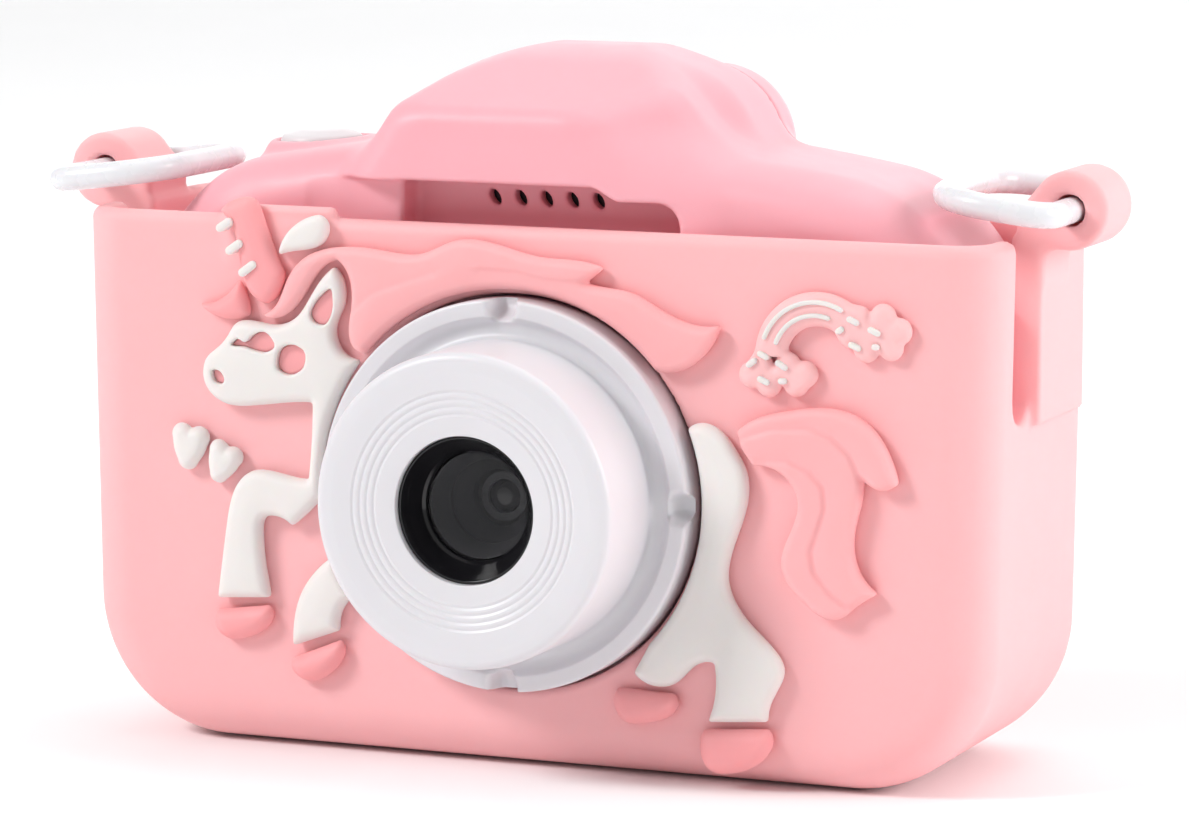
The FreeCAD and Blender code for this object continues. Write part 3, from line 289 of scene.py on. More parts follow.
def material(name, colour, other, patch=60.0, roughness=(0.4, 0.5), grain=2500.0, bump=0.02,
             depth=0.0001, **sockets):
    """Moulded finish: two close colours in soft patches, uneven roughness and a fine surface grain."""
    made = bpy.data.materials.new(name)
    made.use_nodes = True
    nodes, links = made.node_tree.nodes, made.node_tree.links
    shader = nodes["Principled BSDF"]
    place = nodes.new("ShaderNodeTexCoord")

    def noise(scale, detail):
        node = nodes.new("ShaderNodeTexNoise")
        node.inputs["Scale"].default_value = scale
        node.inputs["Detail"].default_value = detail
        links.new(place.outputs["Object"], node.inputs["Vector"])
        return node

    patches = noise(patch, 3.0)
    mix = nodes.new("ShaderNodeMix")
    mix.data_type = "RGBA"
    mix.inputs["A"].default_value = colour
    mix.inputs["B"].default_value = other
    links.new(patches.outputs["Fac"], mix.inputs["Factor"])
    links.new(mix.outputs["Result"], shader.inputs["Base Color"])
    spread = nodes.new("ShaderNodeMapRange")
    spread.inputs["From Min"].default_value = 0.3
    spread.inputs["From Max"].default_value = 0.7
    spread.inputs["To Min"].default_value = roughness[0]
    spread.inputs["To Max"].default_value = roughness[1]
    links.new(noise(patch * 6, 4.0).outputs["Fac"], spread.inputs["Value"])
    links.new(spread.outputs["Result"], shader.inputs["Roughness"])
    relief = nodes.new("ShaderNodeBump")
    relief.inputs["Strength"].default_value = bump
    relief.inputs["Distance"].default_value = depth
    links.new(noise(grain, 4.0).outputs["Fac"], relief.inputs["Height"])
    links.new(relief.outputs["Normal"], shader.inputs["Normal"])
    for socket, value in sockets.items():
        shader.inputs[socket.replace("_", " ")].default_value = value
    return made


SOFT = {"Subsurface_Weight": 0.25, "Subsurface_Radius": (1.0, 0.45, 0.35), "Subsurface_Scale": 0.0025,
        "Specular_IOR_Level": 0.35}
silicone = material("silicone_pink", rgb(251, 186, 188), rgb(248, 180, 183), patch=35,
                    roughness=(0.52, 0.62), grain=5200, bump=0.10, depth=0.00005, **SOFT)
RELIEF = dict(SOFT, patch=60, roughness=(0.48, 0.60), grain=4800, bump=0.10, depth=0.00005)
relief_pink = material("silicone_relief_pink", rgb(249, 168, 170), rgb(245, 161, 164), **RELIEF)
relief_rose = material("silicone_relief_rose", rgb(251, 180, 182), rgb(248, 174, 176), **RELIEF)
relief_pale = material("silicone_relief_pale", rgb(253, 196, 196), rgb(250, 189, 190), **RELIEF)
relief_white = material("silicone_relief_white", rgb(233, 229, 226), rgb(226, 222, 219), patch=70,
                        roughness=(0.45, 0.58), grain=4800, bump=0.10, depth=0.00005,
                        Subsurface_Weight=0.15, Subsurface_Scale=0.0015, Specular_IOR_Level=0.35)
shell = material("shell_pink", rgb(242, 174, 184), rgb(238, 168, 178), patch=40,
                 roughness=(0.40, 0.50), grain=3600, bump=0.06, depth=0.00004,
                 Subsurface_Weight=0.22, Subsurface_Radius=(1.0, 0.5, 0.4), Subsurface_Scale=0.0025)
ring_plastic = material("ring_white", rgb(228, 228, 231), rgb(222, 222, 226), patch=80,
                        roughness=(0.22, 0.32), grain=3000, bump=0.05, depth=0.00004,
                        Subsurface_Weight=0.08, Subsurface_Scale=0.001)
lens_white = material("lens_white", rgb(222, 220, 224), rgb(217, 215, 219), patch=50,
                      roughness=(0.34, 0.42), grain=4200, bump=0.04, depth=0.00003,
                      Subsurface_Weight=0.08, Subsurface_Scale=0.001)
bezel_black = material("bezel_black", rgb(24, 23, 26), rgb(20, 19, 22), patch=120,
                       roughness=(0.12, 0.18), grain=5000, bump=0.02, depth=0.00002)
inner_grey = material("module_grey", rgb(46, 45, 49), rgb(42, 41, 45), patch=150,
                      roughness=(0.38, 0.48), grain=6000, bump=0.04, depth=0.00002)
glass = material("lens_glass", rgb(40, 40, 46), rgb(36, 36, 42), patch=80, roughness=(0.02, 0.04),
                 grain=900, bump=0.004, depth=0.00001, Alpha=0.12, Coat_Weight=1.0)
button_white = material("button_white", rgb(226, 221, 223), rgb(220, 215, 217), patch=90,
                        roughness=(0.36, 0.45), grain=3800, bump=0.05, depth=0.00003)
screen_black = material("display_glass", rgb(17, 17, 20), rgb(14, 14, 17), patch=30,
                        roughness=(0.05, 0.08), grain=1500, bump=0.004, depth=0.00001, Coat_Weight=0.6)
circuit = material("circuit_green", rgb(28, 96, 62), rgb(22, 82, 54), patch=700, roughness=(0.35, 0.55),
                   grain=2400, bump=0.2, depth=0.00005)
metal = material("bright_metal", rgb(190, 190, 194), rgb(176, 176, 182), patch=300,
                 roughness=(0.25, 0.38), grain=6000, bump=0.06, depth=0.00003, Metallic=1.0)
battery_wrap = material("battery_wrap", rgb(176, 182, 190), rgb(162, 168, 178), patch=200,
                        roughness=(0.3, 0.42), grain=1200, bump=0.10, depth=0.00008, Metallic=0.6)
card_black = material("card_black", rgb(34, 34, 38), rgb(28, 28, 32), patch=260,
                      roughness=(0.45, 0.6), grain=4200, bump=0.12, depth=0.00004)
lead_red = material("lead_red", rgb(168, 32, 34), rgb(150, 26, 30), patch=300, roughness=(0.4, 0.5),
                    grain=2500, bump=0.06, depth=0.00004)
flex_orange = material("flex_orange", rgb(196, 120, 52), rgb(180, 106, 44), patch=500,
                       roughness=(0.3, 0.45), grain=3000, bump=0.08, depth=0.00003)

FINISHES = {
    "sleeve": silicone, "relief_white": relief_white, "relief_pink": relief_pink,
    "relief_rose": relief_rose, "relief_pale": relief_pale, "ring_plastic": ring_plastic,
    "shell": shell, "lens_white": lens_white, "bezel_black": bezel_black, "lens_glass": glass,
    "module_black": inner_grey, "button_white": button_white, "circuit": circuit,
    "display": screen_black, "metal": metal, "battery_wrap": battery_wrap,
    "card_black": card_black, "lead_red": lead_red, "flex": flex_orange,
}


# ---------------------------------------------------------------- sleeve

SLEEVE_FOOT, SLEEVE_WIDTH, SLEEVE_TOP, SLEEVE_FRONT = 94.4, 96.0, 53.0, 16.0
SLEEVE_WALL = 2.4
LENS = (-0.5, 27.2)
LENS_HOLE = 19.4
LUG = (51.3, 55.5)
LUG_FRONT, LUG_REAR, LUG_RADIUS, LUG_BORE = -8.3, 5.3, 3.8, 1.55
STRIP_FRONT, STRIP_REAR, STRIP_FACE, STRIP_FOOT = -3.6, 10.4, 48.65, 34.8
SLOT_MIDDLE, SLOT_HALF, SLOT_FOOT = -6.25, 2.55, 35.3
RAISED_RIM = ((-31.5, -16, 48), (-19.5, -14.6, 54.1))
REAR_WINDOW = ((-40.5, 7), (40.5, 47))
PORT_WINDOW = ((-0.6, 11.4), (7.4, 34.2))


def tub(x, y, z, inset, edge):
    """Rounded tub with no top, drawn in by an inset; the sleeve, its hollow and the shell share it."""
    half = SLEEVE_FOOT / 2 + (SLEEVE_WIDTH - SLEEVE_FOOT) / 2 * z / SLEEVE_TOP - inset
    outline = meet(np.abs(x) - half, inset - z, 14 - inset)
    return meet(outline, np.abs(y) - SLEEVE_FRONT + inset, edge)


def sleeve_shape(x, y, z):
    """Silicone sleeve: a tub with strap lugs, a lens hole, two windows and two strap slots."""
    side = np.abs(x)
    from_lug = np.hypot(side - LUG[0], z - LUG[1])
    solid = meet(tub(x, y, z, 0, 5), z - SLEEVE_TOP, 1.1)
    solid = join(solid, box((x, y, z), *RAISED_RIM, 0.6), 0.5)
    strip = box((side, y, z), (44, STRIP_FRONT, STRIP_FOOT), (STRIP_FACE, STRIP_REAR, 52.8), 0.5)
    neck = box((side, y, z), (46, STRIP_FRONT, 48), (STRIP_FACE, LUG_REAR - 0.4, LUG[1]), 0.8)
    tube = meet(from_lug - LUG_RADIUS, slab(y, LUG_FRONT, LUG_REAR), 1.3)
    solid = join(join(solid, strip, 0.4), join(neck, tube, 2.4), 0.8)
    wall = less(solid, tub(x, y, z, SLEEVE_WALL, 2.6), 0.9)
    wall = less(wall, np.maximum(np.hypot(x - LENS[0], z - LENS[1]) - LENS_HOLE, y), 0.6)
    wall = less(wall, np.maximum(plate(x, z, *REAR_WINDOW, 5), -y), 0.7)
    wall = less(wall, np.maximum(plate(y, z, *PORT_WINDOW, 2), x), 0.5)
    slot = meet(np.abs(y - SLOT_MIDDLE) - SLOT_HALF, SLOT_FOOT - z, SLOT_HALF)
    wall = less(wall, np.maximum(slot, 40 - side), 0.5)
    return less(wall, from_lug - LUG_BORE, 0.35)


moulded("sleeve", sleeve_shape, (steps(-55, 55, 0.5), steps(-16, 16, 0.42), steps(0, 60, 0.42)),
        "camera", node="silicone_sleeve", slot="sleeve", finish=silicone)


# ---------------------------------------------------------------- relief on the sleeve's front

RELIEF_HEIGHT = 2.0


def front_edges(node):
    """Outline of a flat-fronted CAD node as line pieces (x, z) in millimetres."""
    mesh = frame["nodes"][node].data
    places = np.array([vertex.co for vertex in mesh.vertices]) / MM
    seen = {}
    for polygon in mesh.polygons:
        if polygon.normal.y > -0.99:
            continue
        for a, b in polygon.edge_keys:
            key = frozenset((tuple(np.round(places[a][::2], 3)), tuple(np.round(places[b][::2], 3))))
            seen[key] = seen.get(key, 0) + 1
    return np.array([sorted(key) for key, uses in seen.items() if uses == 1 and len(key) == 2])


def closed_curve(points, steps_each=6):
    """Line pieces of a smooth closed curve through points."""
    points = np.asarray(points, float)
    curve = []
    for index in range(len(points)):
        a, b, c, d = (points[(index + shift) % len(points)] for shift in (-1, 0, 1, 2))
        for t in np.arange(steps_each) / steps_each:
            curve.append(0.5 * ((2 * b) + (c - a) * t + (2 * a - 5 * b + 4 * c - d) * t ** 2
                                + (3 * b - a - 3 * c + d) * t ** 3))
    curve = np.array(curve)
    return np.stack([curve, np.roll(curve, -1, axis=0)], 1)


def line_distance(x, z, pieces):
    """Distance to the nearest line piece, and on which side of it the point lies."""
    best = np.full(np.broadcast(x, z).shape, 1e9)
    side = np.zeros_like(best)
    for (ax, az), (bx, bz) in pieces:
        dx, dz = bx - ax, bz - az
        t = np.clip(((x - ax) * dx + (z - az) * dz) / max(dx * dx + dz * dz, 1e-12), 0, 1)
        away = np.hypot(x - ax - t * dx, z - az - t * dz)
        nearer = away < best
        best = np.where(nearer, away, best)
        side = np.where(nearer, dx * (z - az) - dz * (x - ax), side)
    return best, side


class Field:
    """Values on a flat grid in x and z, read back smoothly anywhere on it."""

    def __init__(self, low, high, cell, fill):
        self.low, self.cell = np.asarray(low, float), cell
        xs = np.arange(low[0], high[0] + cell, cell)
        zs = np.arange(low[1], high[1] + cell, cell)
        self.values = fill(xs[:, None], zs[None, :])

    def soften(self, rounds):
        for _ in range(rounds):
            padded = np.pad(self.values, 1, mode="edge")
            self.values = (padded[:-2, 1:-1] + padded[2:, 1:-1] + padded[1:-1, :-2] + padded[1:-1, 2:]
                           + 4 * self.values) / 8
        return self

    def __call__(self, x, z):
        u = np.clip((x - self.low[0]) / self.cell, 0, self.values.shape[0] - 1.001)
        v = np.clip((z - self.low[1]) / self.cell, 0, self.values.shape[1] - 1.001)
        i, j = u.astype(int), v.astype(int)
        u, v = u - i, v - j
        low = self.values[i, j] * (1 - v) + self.values[i, j + 1] * v
        high = self.values[i + 1, j] * (1 - v) + self.values[i + 1, j + 1] * v
        return low * (1 - u) + high * u


def outline_field(pieces, margin=1.5, cell=0.12, soften=6):
    """Signed distance to closed outlines, negative inside, with its corners softened."""
    def fill(x, z):
        away, _ = line_distance(x, z, pieces)
        crossings = np.zeros(away.shape, int)
        for (ax, az), (bx, bz) in pieces:
            if az == bz:
                continue
            spans = (np.minimum(az, bz) <= z) & (z < np.maximum(az, bz))
            crossings += spans & (x < ax + (z - az) * (bx - ax) / (bz - az))
        return np.where(crossings % 2 == 1, -away, away)
    low, high = pieces.min((0, 1)) - margin, pieces.max((0, 1)) + margin
    return Field(low, high, cell, fill).soften(soften)


def crease(points, depth, reach):
    """Stepped crease along a curve: steep on one side, fading out on the other."""
    points = np.asarray(points, float)
    pieces = np.stack([points[:-1], points[1:]], 1)

    def fall(x, z):
        away, side = line_distance(x, z, pieces)
        return depth * np.where(side > 0, np.exp(-away / reach), np.exp(-(away / 0.22) ** 2))
    return fall


def motif(name, outline, edge, node=None, slot=None, finish=None, height=RELIEF_HEIGHT, holes=None,
          creases=(), crown=0.0, cell=0.2, foot=-SLEEVE_FRONT + 0.15):
    """Raised motif: an outline with a rounded front edge, crowned, creased and pierced as asked."""
    front = -SLEEVE_FRONT - height
    low = outline.low + 1.2
    high = outline.low + np.array(outline.values.shape) * outline.cell - 1.2
    sink = None
    if creases:
        def fill(x, z):
            return sum(fall(x, z) for fall in creases)
        sink = Field(outline.low, high + 1.2, 0.15, fill).soften(2)

    def shape(x, y, z):
        edge_distance = outline(x, z)
        face = front - y
        if crown:
            face = face + crown * (1 - ease(-edge_distance, 0, 2.6))
        if sink is not None:
            face = face + sink(x, z)
        solid = meet(edge_distance, np.maximum(face, y - foot), edge)
        if holes is not None:
            solid = less(solid, holes(x, z), 0.25)
        return solid

    return moulded(name, shape, (steps(low[0], high[0], cell), steps(front, foot, cell),
                                 steps(low[1], high[1], cell)),
                   "camera", node=node, slot=slot, finish=finish)


def traced(node):
    """Outline field of a CAD node's front face."""
    return outline_field(front_edges(node))


EYE = [(-30.0, 40.3), (-29.3, 41.0), (-28.4, 40.7), (-27.5, 41.5), (-26.4, 41.8), (-25.6, 41.3),
       (-25.2, 40.4), (-26.2, 39.8), (-27.4, 39.9), (-28.6, 40.2)]
CHEEK = [(-25.0, 39.1), (-24.5, 40.3), (-23.1, 40.7), (-21.9, 40.0), (-22.1, 38.5), (-23.5, 37.7),
         (-24.8, 38.1)]
NOSTRIL = [(-32.1, 37.7), (-31.2, 37.7), (-30.7, 36.9), (-31.1, 36.4), (-31.9, 36.7)]
EAR = [(-21.4, 43.7), (-21.0, 44.8), (-20.0, 45.9), (-19.1, 46.4), (-18.9, 45.4), (-19.0, 44.2),
       (-19.7, 42.9), (-20.8, 42.9)]
holes = outline_field(np.concatenate([closed_curve(hole) for hole in (EYE, CHEEK, NOSTRIL, EAR)]),
                      cell=0.1, soften=2)

motif("unicorn_head", traced("unicorn_head_and_foreleg"), 0.95, "unicorn_head_and_foreleg",
      "relief_white", relief_white, holes=holes, crown=0.15)
motif("unicorn_face_marks", holes, 0.2, None, "relief_pink", relief_pink, height=1.3, cell=0.15)
for name, node, slot, edge, crown in (
        ("unicorn_near_leg", "unicorn_second_foreleg", "relief_white", 1.1, 0.2),
        ("unicorn_rear_legs", "unicorn_hind_legs", "relief_white", 1.05, 0.2),
        ("unicorn_hoof_set", "unicorn_hooves", "relief_pink", 1.4, 0.25),
        ("unicorn_horn_body", "unicorn_horn", "relief_pink", 1.2, 0.25),
        ("unicorn_ear_far", "unicorn_far_ear", "relief_white", 0.8, 0.15)):
    motif(name, traced(node), edge, node, slot, FINISHES[slot], crown=crown)
motif("unicorn_front_lock", traced("unicorn_forelock"), 1.1, "unicorn_forelock",
      "relief_pink", relief_pink, crown=0.3, height=1.75)
motif("unicorn_long_mane", traced("unicorn_mane"), 0.9, "unicorn_mane", "relief_rose", relief_rose,
      crown=0.2, creases=[
          crease([(-16.9, 44.2), (-14.4, 46.3), (-11.2, 47.4), (-8.0, 48.4)], 0.18, 0.9),
          crease([(7.5, 48.1), (3.6, 48.3), (0.4, 48.9), (-3.0, 49.0)], 0.22, 0.8)])
motif("unicorn_long_tail", traced("unicorn_tail"), 0.9, "unicorn_tail", "relief_rose", relief_rose,
      crown=0.1, creases=[
          crease([(23.2, 34.0), (26.8, 35.2), (30.6, 35.5), (32.7, 34.8), (34.6, 33.2), (35.6, 30.9)],
                 0.34, 0.9),
          crease([(25.0, 32.0), (28.4, 32.3), (30.6, 31.4), (32.0, 29.9), (32.2, 27.9), (31.5, 25.8),
                  (30.8, 23.7), (31.2, 21.7), (32.8, 19.8), (34.8, 18.4)], 0.34, 0.9)])


def capsule(x, z, start, end, radius):
    """Round-ended stroke between two points."""
    away, _ = line_distance(x, z, [(start, end)])
    return away - radius


HEARTS = [((-35.1, 30.0), 1.0, -8), ((-31.4, 28.6), 0.92, -22)]


def hearts(x, z):
    """Two chunky hearts side by side, each a pair of round-ended strokes over a disc."""
    parts = []
    for (cx, cz), size, lean in HEARTS:
        cos, sin = math.cos(math.radians(lean)), math.sin(math.radians(lean))
        u = ((x - cx) * cos + (z - cz) * sin) / size
        v = ((z - cz) * cos - (x - cx) * sin) / size
        strokes = [capsule(u, v, (0.95 * side, 0.95), (0, -1.4), 1.15) for side in (-1, 1)]
        parts.append(join(np.minimum(*strokes), np.hypot(u, v) - 1.6, 0.4) * size)
    return join(*parts, 0.15)


motif("heart_relief", Field((-39, 25), (-27, 34.5), 0.1, hearts), 1.1, "heart_pair",
      "relief_white", relief_white, height=1.8, crown=0.25)


def bars(x, z):
    """Three short slanting bars up the horn."""
    rows = [((-30.9, 51.9), (-30.0, 52.5)), ((-29.9, 49.7), (-28.9, 50.4)),
            ((-28.5, 47.6), (-27.4, 48.4))]
    return np.minimum.reduce([capsule(x, z, start, end, 0.42) for start, end in rows])


motif("unicorn_horn_stripes", Field((-33, 45.5), (-25.5, 54.5), 0.1, bars), 0.25,
      "unicorn_horn_bars", "relief_white", relief_white, height=RELIEF_HEIGHT + 0.3, cell=0.15,
      foot=-SLEEVE_FRONT - 0.5)

SKY_AREA = ((21, 36), (43.5, 50.5))
BOW = (31.0, 42.0)
CLOUDS = [((27.05, 40.3), 2.75, 1.0), ((36.65, 44.7), 2.45, 1.65)]


def bow_band(x, z, inner, outer, start, end):
    """Arc band about the rainbow's centre between two angles in degrees, with round ends."""
    radius = (inner + outer) / 2
    angle = np.degrees(np.arctan2(z - BOW[1], x - BOW[0]))
    angle = np.radians(np.clip(angle, start, end))
    return np.hypot(x - BOW[0] - radius * np.cos(angle), z - BOW[1] - radius * np.sin(angle)) \
        - (outer - inner) / 2


def sky(x, z):
    """Rainbow and the two clouds at its ends."""
    parts = bow_band(x, z, 3.0, 6.4, 45, 175)
    for (cx, cz), wide, tall in CLOUDS:
        puff = (np.hypot((x - cx) / wide, (z - cz) / tall) - 0.9) * tall
        for turn in range(10, 370, 60):
            angle = math.radians(turn)
            lobe = np.hypot(x - cx - wide * math.cos(angle), z - cz - tall * math.sin(angle)) - 1.35
            puff = join(puff, lobe, 0.25)
        parts = join(parts, puff, 0.4)
    return parts


def sparkles(x, z):
    """Two stripes on the rainbow and the small drops on its clouds."""
    drops = [((24.4, 41.2), (24.9, 41.6)), ((25.5, 42.3), (26.1, 42.0)), ((27.3, 41.5), (28.0, 41.1)),
             ((25.5, 39.9), (26.2, 39.6)), ((27.6, 39.8), (27.9, 39.8)), ((33.3, 44.8), (33.6, 45.0)),
             ((34.4, 46.0), (35.1, 45.7)), ((36.5, 45.1), (37.2, 44.8)), ((34.6, 43.6), (35.3, 43.3)),
             ((36.9, 43.5), (37.1, 43.5))]
    marks = [capsule(x, z, start, end, 0.3) for start, end in drops]
    marks += [bow_band(x, z, 5.2, 5.65, 62, 160), bow_band(x, z, 3.95, 4.4, 72, 160)]
    return np.minimum.reduce(marks)


motif("rainbow_relief", Field(*SKY_AREA, 0.12, sky), 1.05, "rainbow_and_clouds",
      "relief_pale", relief_pale, height=1.5, crown=0.2)
motif("rainbow_marks", Field(*SKY_AREA, 0.1, sparkles), 0.2, "rainbow_highlights",
      "relief_white", relief_white, height=1.72, cell=0.15, foot=-SLEEVE_FRONT - 0.5)


# ---------------------------------------------------------------- camera body

PARTING = 9.0
SHUTTER = (-28.8, 1.0)
COLLAR_RADIUS, COLLAR_TOP = 5.6, 59.1
SHOULDER_HALF, SHOULDER_EDGE = 44.5, 55.1
SHOULDER_FLAT, SHOULDER_TOP = 20, 61.6
HUMP_HALF, HUMP_FLAT, HUMP_TOP, HUMP_FRONT = 19.0, 9.6, 69.3, -14.5
BUMP_HALF, BUMP_REAR, BUMP_TOP = 18, 15.4, 67.2
SPEAKER_HEIGHT = 55.1
SCREEN_GAP = 0.1
KEYS = ["key_ok", "key_up", "key_down", "key_right", "key_left", "key_playback", "power_button"]


def centre_of(node):
    """Middle of a CAD node's box in millimetres."""
    low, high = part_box(node)
    return (low + high) / 2 / MM


key_places = {label: (centre_of(label).x, centre_of(label).z) for label in KEYS}
screen_low, screen_high = (Vector(corner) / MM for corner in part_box("display_window"))


def outer_body(x, y, z):
    """Outside of the pink camera body, before it is hollowed and split."""
    side = np.abs(x)
    lower = meet(tub(x, y, z, 2.5, 2.6), z - 47, 1.0)
    fall = -slope(side, z, (SHOULDER_FLAT, SHOULDER_TOP), (SHOULDER_HALF, SHOULDER_EDGE))
    ridge = meet(meet(side - SHOULDER_HALF, fall, 14), z - SHOULDER_TOP, 6)
    shoulders = np.maximum(meet(ridge, slab(y, -12.4, 13), 6), 30 - z)
    crown = meet(side - HUMP_HALF, -slope(side, z, (HUMP_FLAT, HUMP_TOP), (HUMP_HALF, 60)), 5)
    crown = meet(crown, z - HUMP_TOP, 3.5)
    crown = meet(crown, HUMP_FRONT - y, 3.5)
    crown = meet(crown, -slope(y, z, (HUMP_FRONT, 63.8), (0.5, HUMP_TOP)), 1.3)
    bevel = 0.530 * (x - 10.9) - 0.764 * (y - HUMP_FRONT) + 0.367 * (z - 56.2)
    hump = np.maximum(meet(meet(crown, bevel, 1.5), y - 10.2, 2.6), 50 - z)
    bump = plate(x, z, (-BUMP_HALF, 38), (BUMP_HALF, BUMP_TOP), 8)
    bump = np.maximum(meet(bump, slab(y, -2, BUMP_REAR), 4), 50 - z)
    collar = np.hypot(x - SHUTTER[0], y - SHUTTER[1]) - COLLAR_RADIUS
    collar = meet(collar, z - COLLAR_TOP, 1.0)
    body = join(shoulders, hump, 4.5)
    body = join(body, bump, 1.6)
    body = join(body, np.maximum(collar, 50 - z), 1.8)
    return join(body, lower, 0.8)


def recess_shape(x, y, z):
    """Hollow under the hood: its ceiling steps down and curls into the sleeve at the right."""
    ceiling = z - 57 + 1.3 * ease(x, 7, 10)
    hollow = meet(x - 15.8, ceiling, 2.6)
    hollow = meet(hollow, -13.8 - x, 0.8)
    hollow = meet(np.maximum(hollow, 50.3 - z), y + 9, 0.8)
    return np.minimum(hollow, box((x, y, z), (-24, -17, 50.3), (-12, -12.3, 56.9), 0.5))


def hollow_shape(x, y, z):
    """Room inside the body for the electronics."""
    rooms = [((-43.1, -11.9, 4.1), (43.1, 11.9, 49), 4.0), ((-37, -7.5, 47), (37, 8.5, 54.5), 1.0),
             ((-11, -7.4, 47), (11, 8.4, 62), 1.0), ((-12, 7.4, 48.6), (12, 13.8, 64.2), 1.0)]
    return np.minimum.reduce([box((x, y, z), low, high, r) for low, high, r in rooms])


def posts(x, y, z, radius, places, front, rear):
    """Round posts along Y, the same on both sides."""
    rods = [np.hypot(np.abs(x) - px, z - pz) - radius for px, pz in places]
    return np.maximum(np.minimum.reduce(rods), slab(y, front, rear))


POSTS = [(39.0, 9.0), (41.0, 45.0)]
STANDOFFS = [(31.0, 7.8), (31.0, 43.6)]
SPEAKER_HOLES = [2.73 * step for step in (-2, -1, 0, 1, 2)]


def front_shape(x, y, z):
    """Front housing: hollow, with its posts and every opening in it."""
    solid = less(less(outer_body(x, y, z), recess_shape(x, y, z), 0.5), hollow_shape(x, y, z), 0.3)
    solid = np.minimum(solid, posts(x, y, z, 2.6, POSTS, -12.2, PARTING))
    solid = np.minimum(solid, posts(x, y, z, 2.2, STANDOFFS, -12.2, 5.0))
    solid = np.maximum(solid, -posts(x, y, z, 1.05, POSTS, -2, PARTING + 2))
    solid = np.maximum(solid, -posts(x, y, z, 0.8, STANDOFFS, -1, 7))
    for place in SPEAKER_HOLES:
        rise = z - SPEAKER_HEIGHT
        tilted = np.hypot(x - place + 0.35 * rise, rise / 1.3) - 0.6
        solid = less(solid, np.maximum(tilted, y + 6.5), 0.2)
    solid = less(solid, np.maximum(np.hypot(x - LENS[0], z - LENS[1]) - 10.2, y + 9), 0.2)
    solid = less(solid, np.maximum(np.hypot(x - SHUTTER[0], y - SHUTTER[1]) - 4.5, 52 - z), 0.3)
    solid = less(solid, np.maximum(plate(y, z, (1.4, 12.2), (5.0, 21.8), 1.4), x + 40), 0.2)
    solid = less(solid, np.maximum(plate(y, z, (2.6, 22.3), (4.1, 33.7), 0.4), x + 40), 0.2)
    return meet(solid, y - PARTING, 0.25)


def rear_shape(x, y, z):
    """Rear housing: hollow, with its posts, keyholes, display opening and screw holes."""
    solid = less(outer_body(x, y, z), hollow_shape(x, y, z), 0.3)
    solid = np.minimum(solid, posts(x, y, z, 3.1, POSTS, PARTING, 12.8))
    for place in key_places.values():
        solid = less(solid, np.hypot(x - place[0], z - place[1]) - 3.15, 0.3)
    corners = [(corner.x + sign * SCREEN_GAP, corner.z + sign * SCREEN_GAP)
               for corner, sign in ((screen_low, -1), (screen_high, 1))]
    solid = less(solid, plate(x, z, *corners, 1.2), 0.35)
    solid = less(solid, np.maximum(np.hypot(x, z - 60.6) - 3.2, 11 - y), 0.4)
    solid = np.maximum(solid, -posts(x, y, z, 1.15, POSTS, 8, 20))
    solid = less(solid, posts(x, y, z, 2.1, POSTS, 12.3, 20), 0.2)
    return meet(solid, PARTING + 0.05 - y, 0.25)


moulded("shell_front", front_shape,
        (steps(-47, 47, 0.5, (-8, 8, 0.25)), steps(-14.6, 9, 0.45, (-10, -7, 0.25)),
         steps(2, 69.4, 0.45, (53, 59, 0.25))),
        "camera", node="front_housing", slot="shell", finish=shell)
moulded("shell_rear", rear_shape, (steps(-47, 47, 0.4), steps(9, 15.5, 0.35), steps(2, 69.4, 0.4)),
        "camera", node="rear_housing", slot="shell", finish=shell)


# ---------------------------------------------------------------- front lens

LENS_CENTRE = (LENS[0], 0.0, LENS[1])
DISH = 28.6
RIM = 19.1
GROOVES = (9.3, 10.0, 10.7, 11.4)
GROOVE_HALF = 0.24


def dish_face(radius):
    """How far forward the dished face stands at a radius."""
    return DISH - 0.75 * max(0.0, 13.4 - radius) / 6.3


def rim_scoops(u, v, height):
    """Four scoops in the base's rim, at the top, bottom and both sides."""
    radius = np.hypot(u, v)
    across = np.minimum(np.abs(u), np.abs(v))
    outwards = ease(radius, RIM - 3.0, RIM - 0.6)
    width = 0.8 + 0.7 * outwards
    depth = 2.5 * outwards * (1 - ease(across, width * 0.45, width * 1.15))
    return np.where(height < 19.2, np.minimum(height, 18.9 - depth), height)


profile = [(7.15, 27.85, 0.15)]
for groove in GROOVES:
    inner, outer = groove - GROOVE_HALF, groove + GROOVE_HALF
    profile += [(inner, dish_face(inner), 0.15), (groove, dish_face(groove) - 0.11, 0.12),
                (outer, dish_face(outer), 0.15)]
profile += [(13.4, DISH, 2.0), (15.26, DISH, 2.1), (15.26, 17.9, 1.6), (16.7, 17.9, 1.2)]
profile += [(radius, 18.9, 0.6 if radius == 17.5 else 0.0) for radius in (17.5, 17.8, 18.1, 18.4)]
profile += [(RIM, 18.9, 1.0)]
profile += [(RIM, along, 0.0) for along in np.arange(17.6, 15.5, -0.3)]
profile += [(RIM, 13.6, 0.0), (10.0, 13.6, 0.0), (10.0, 11.4, 0.0), (7.15, 11.4, 0.0)]
turned("lens_ring", profile, LENS_CENTRE, "camera", closed=True, segments=360, shape=rim_scoops,
       node="lens_barrel", slot="lens_white", finish=lens_white)

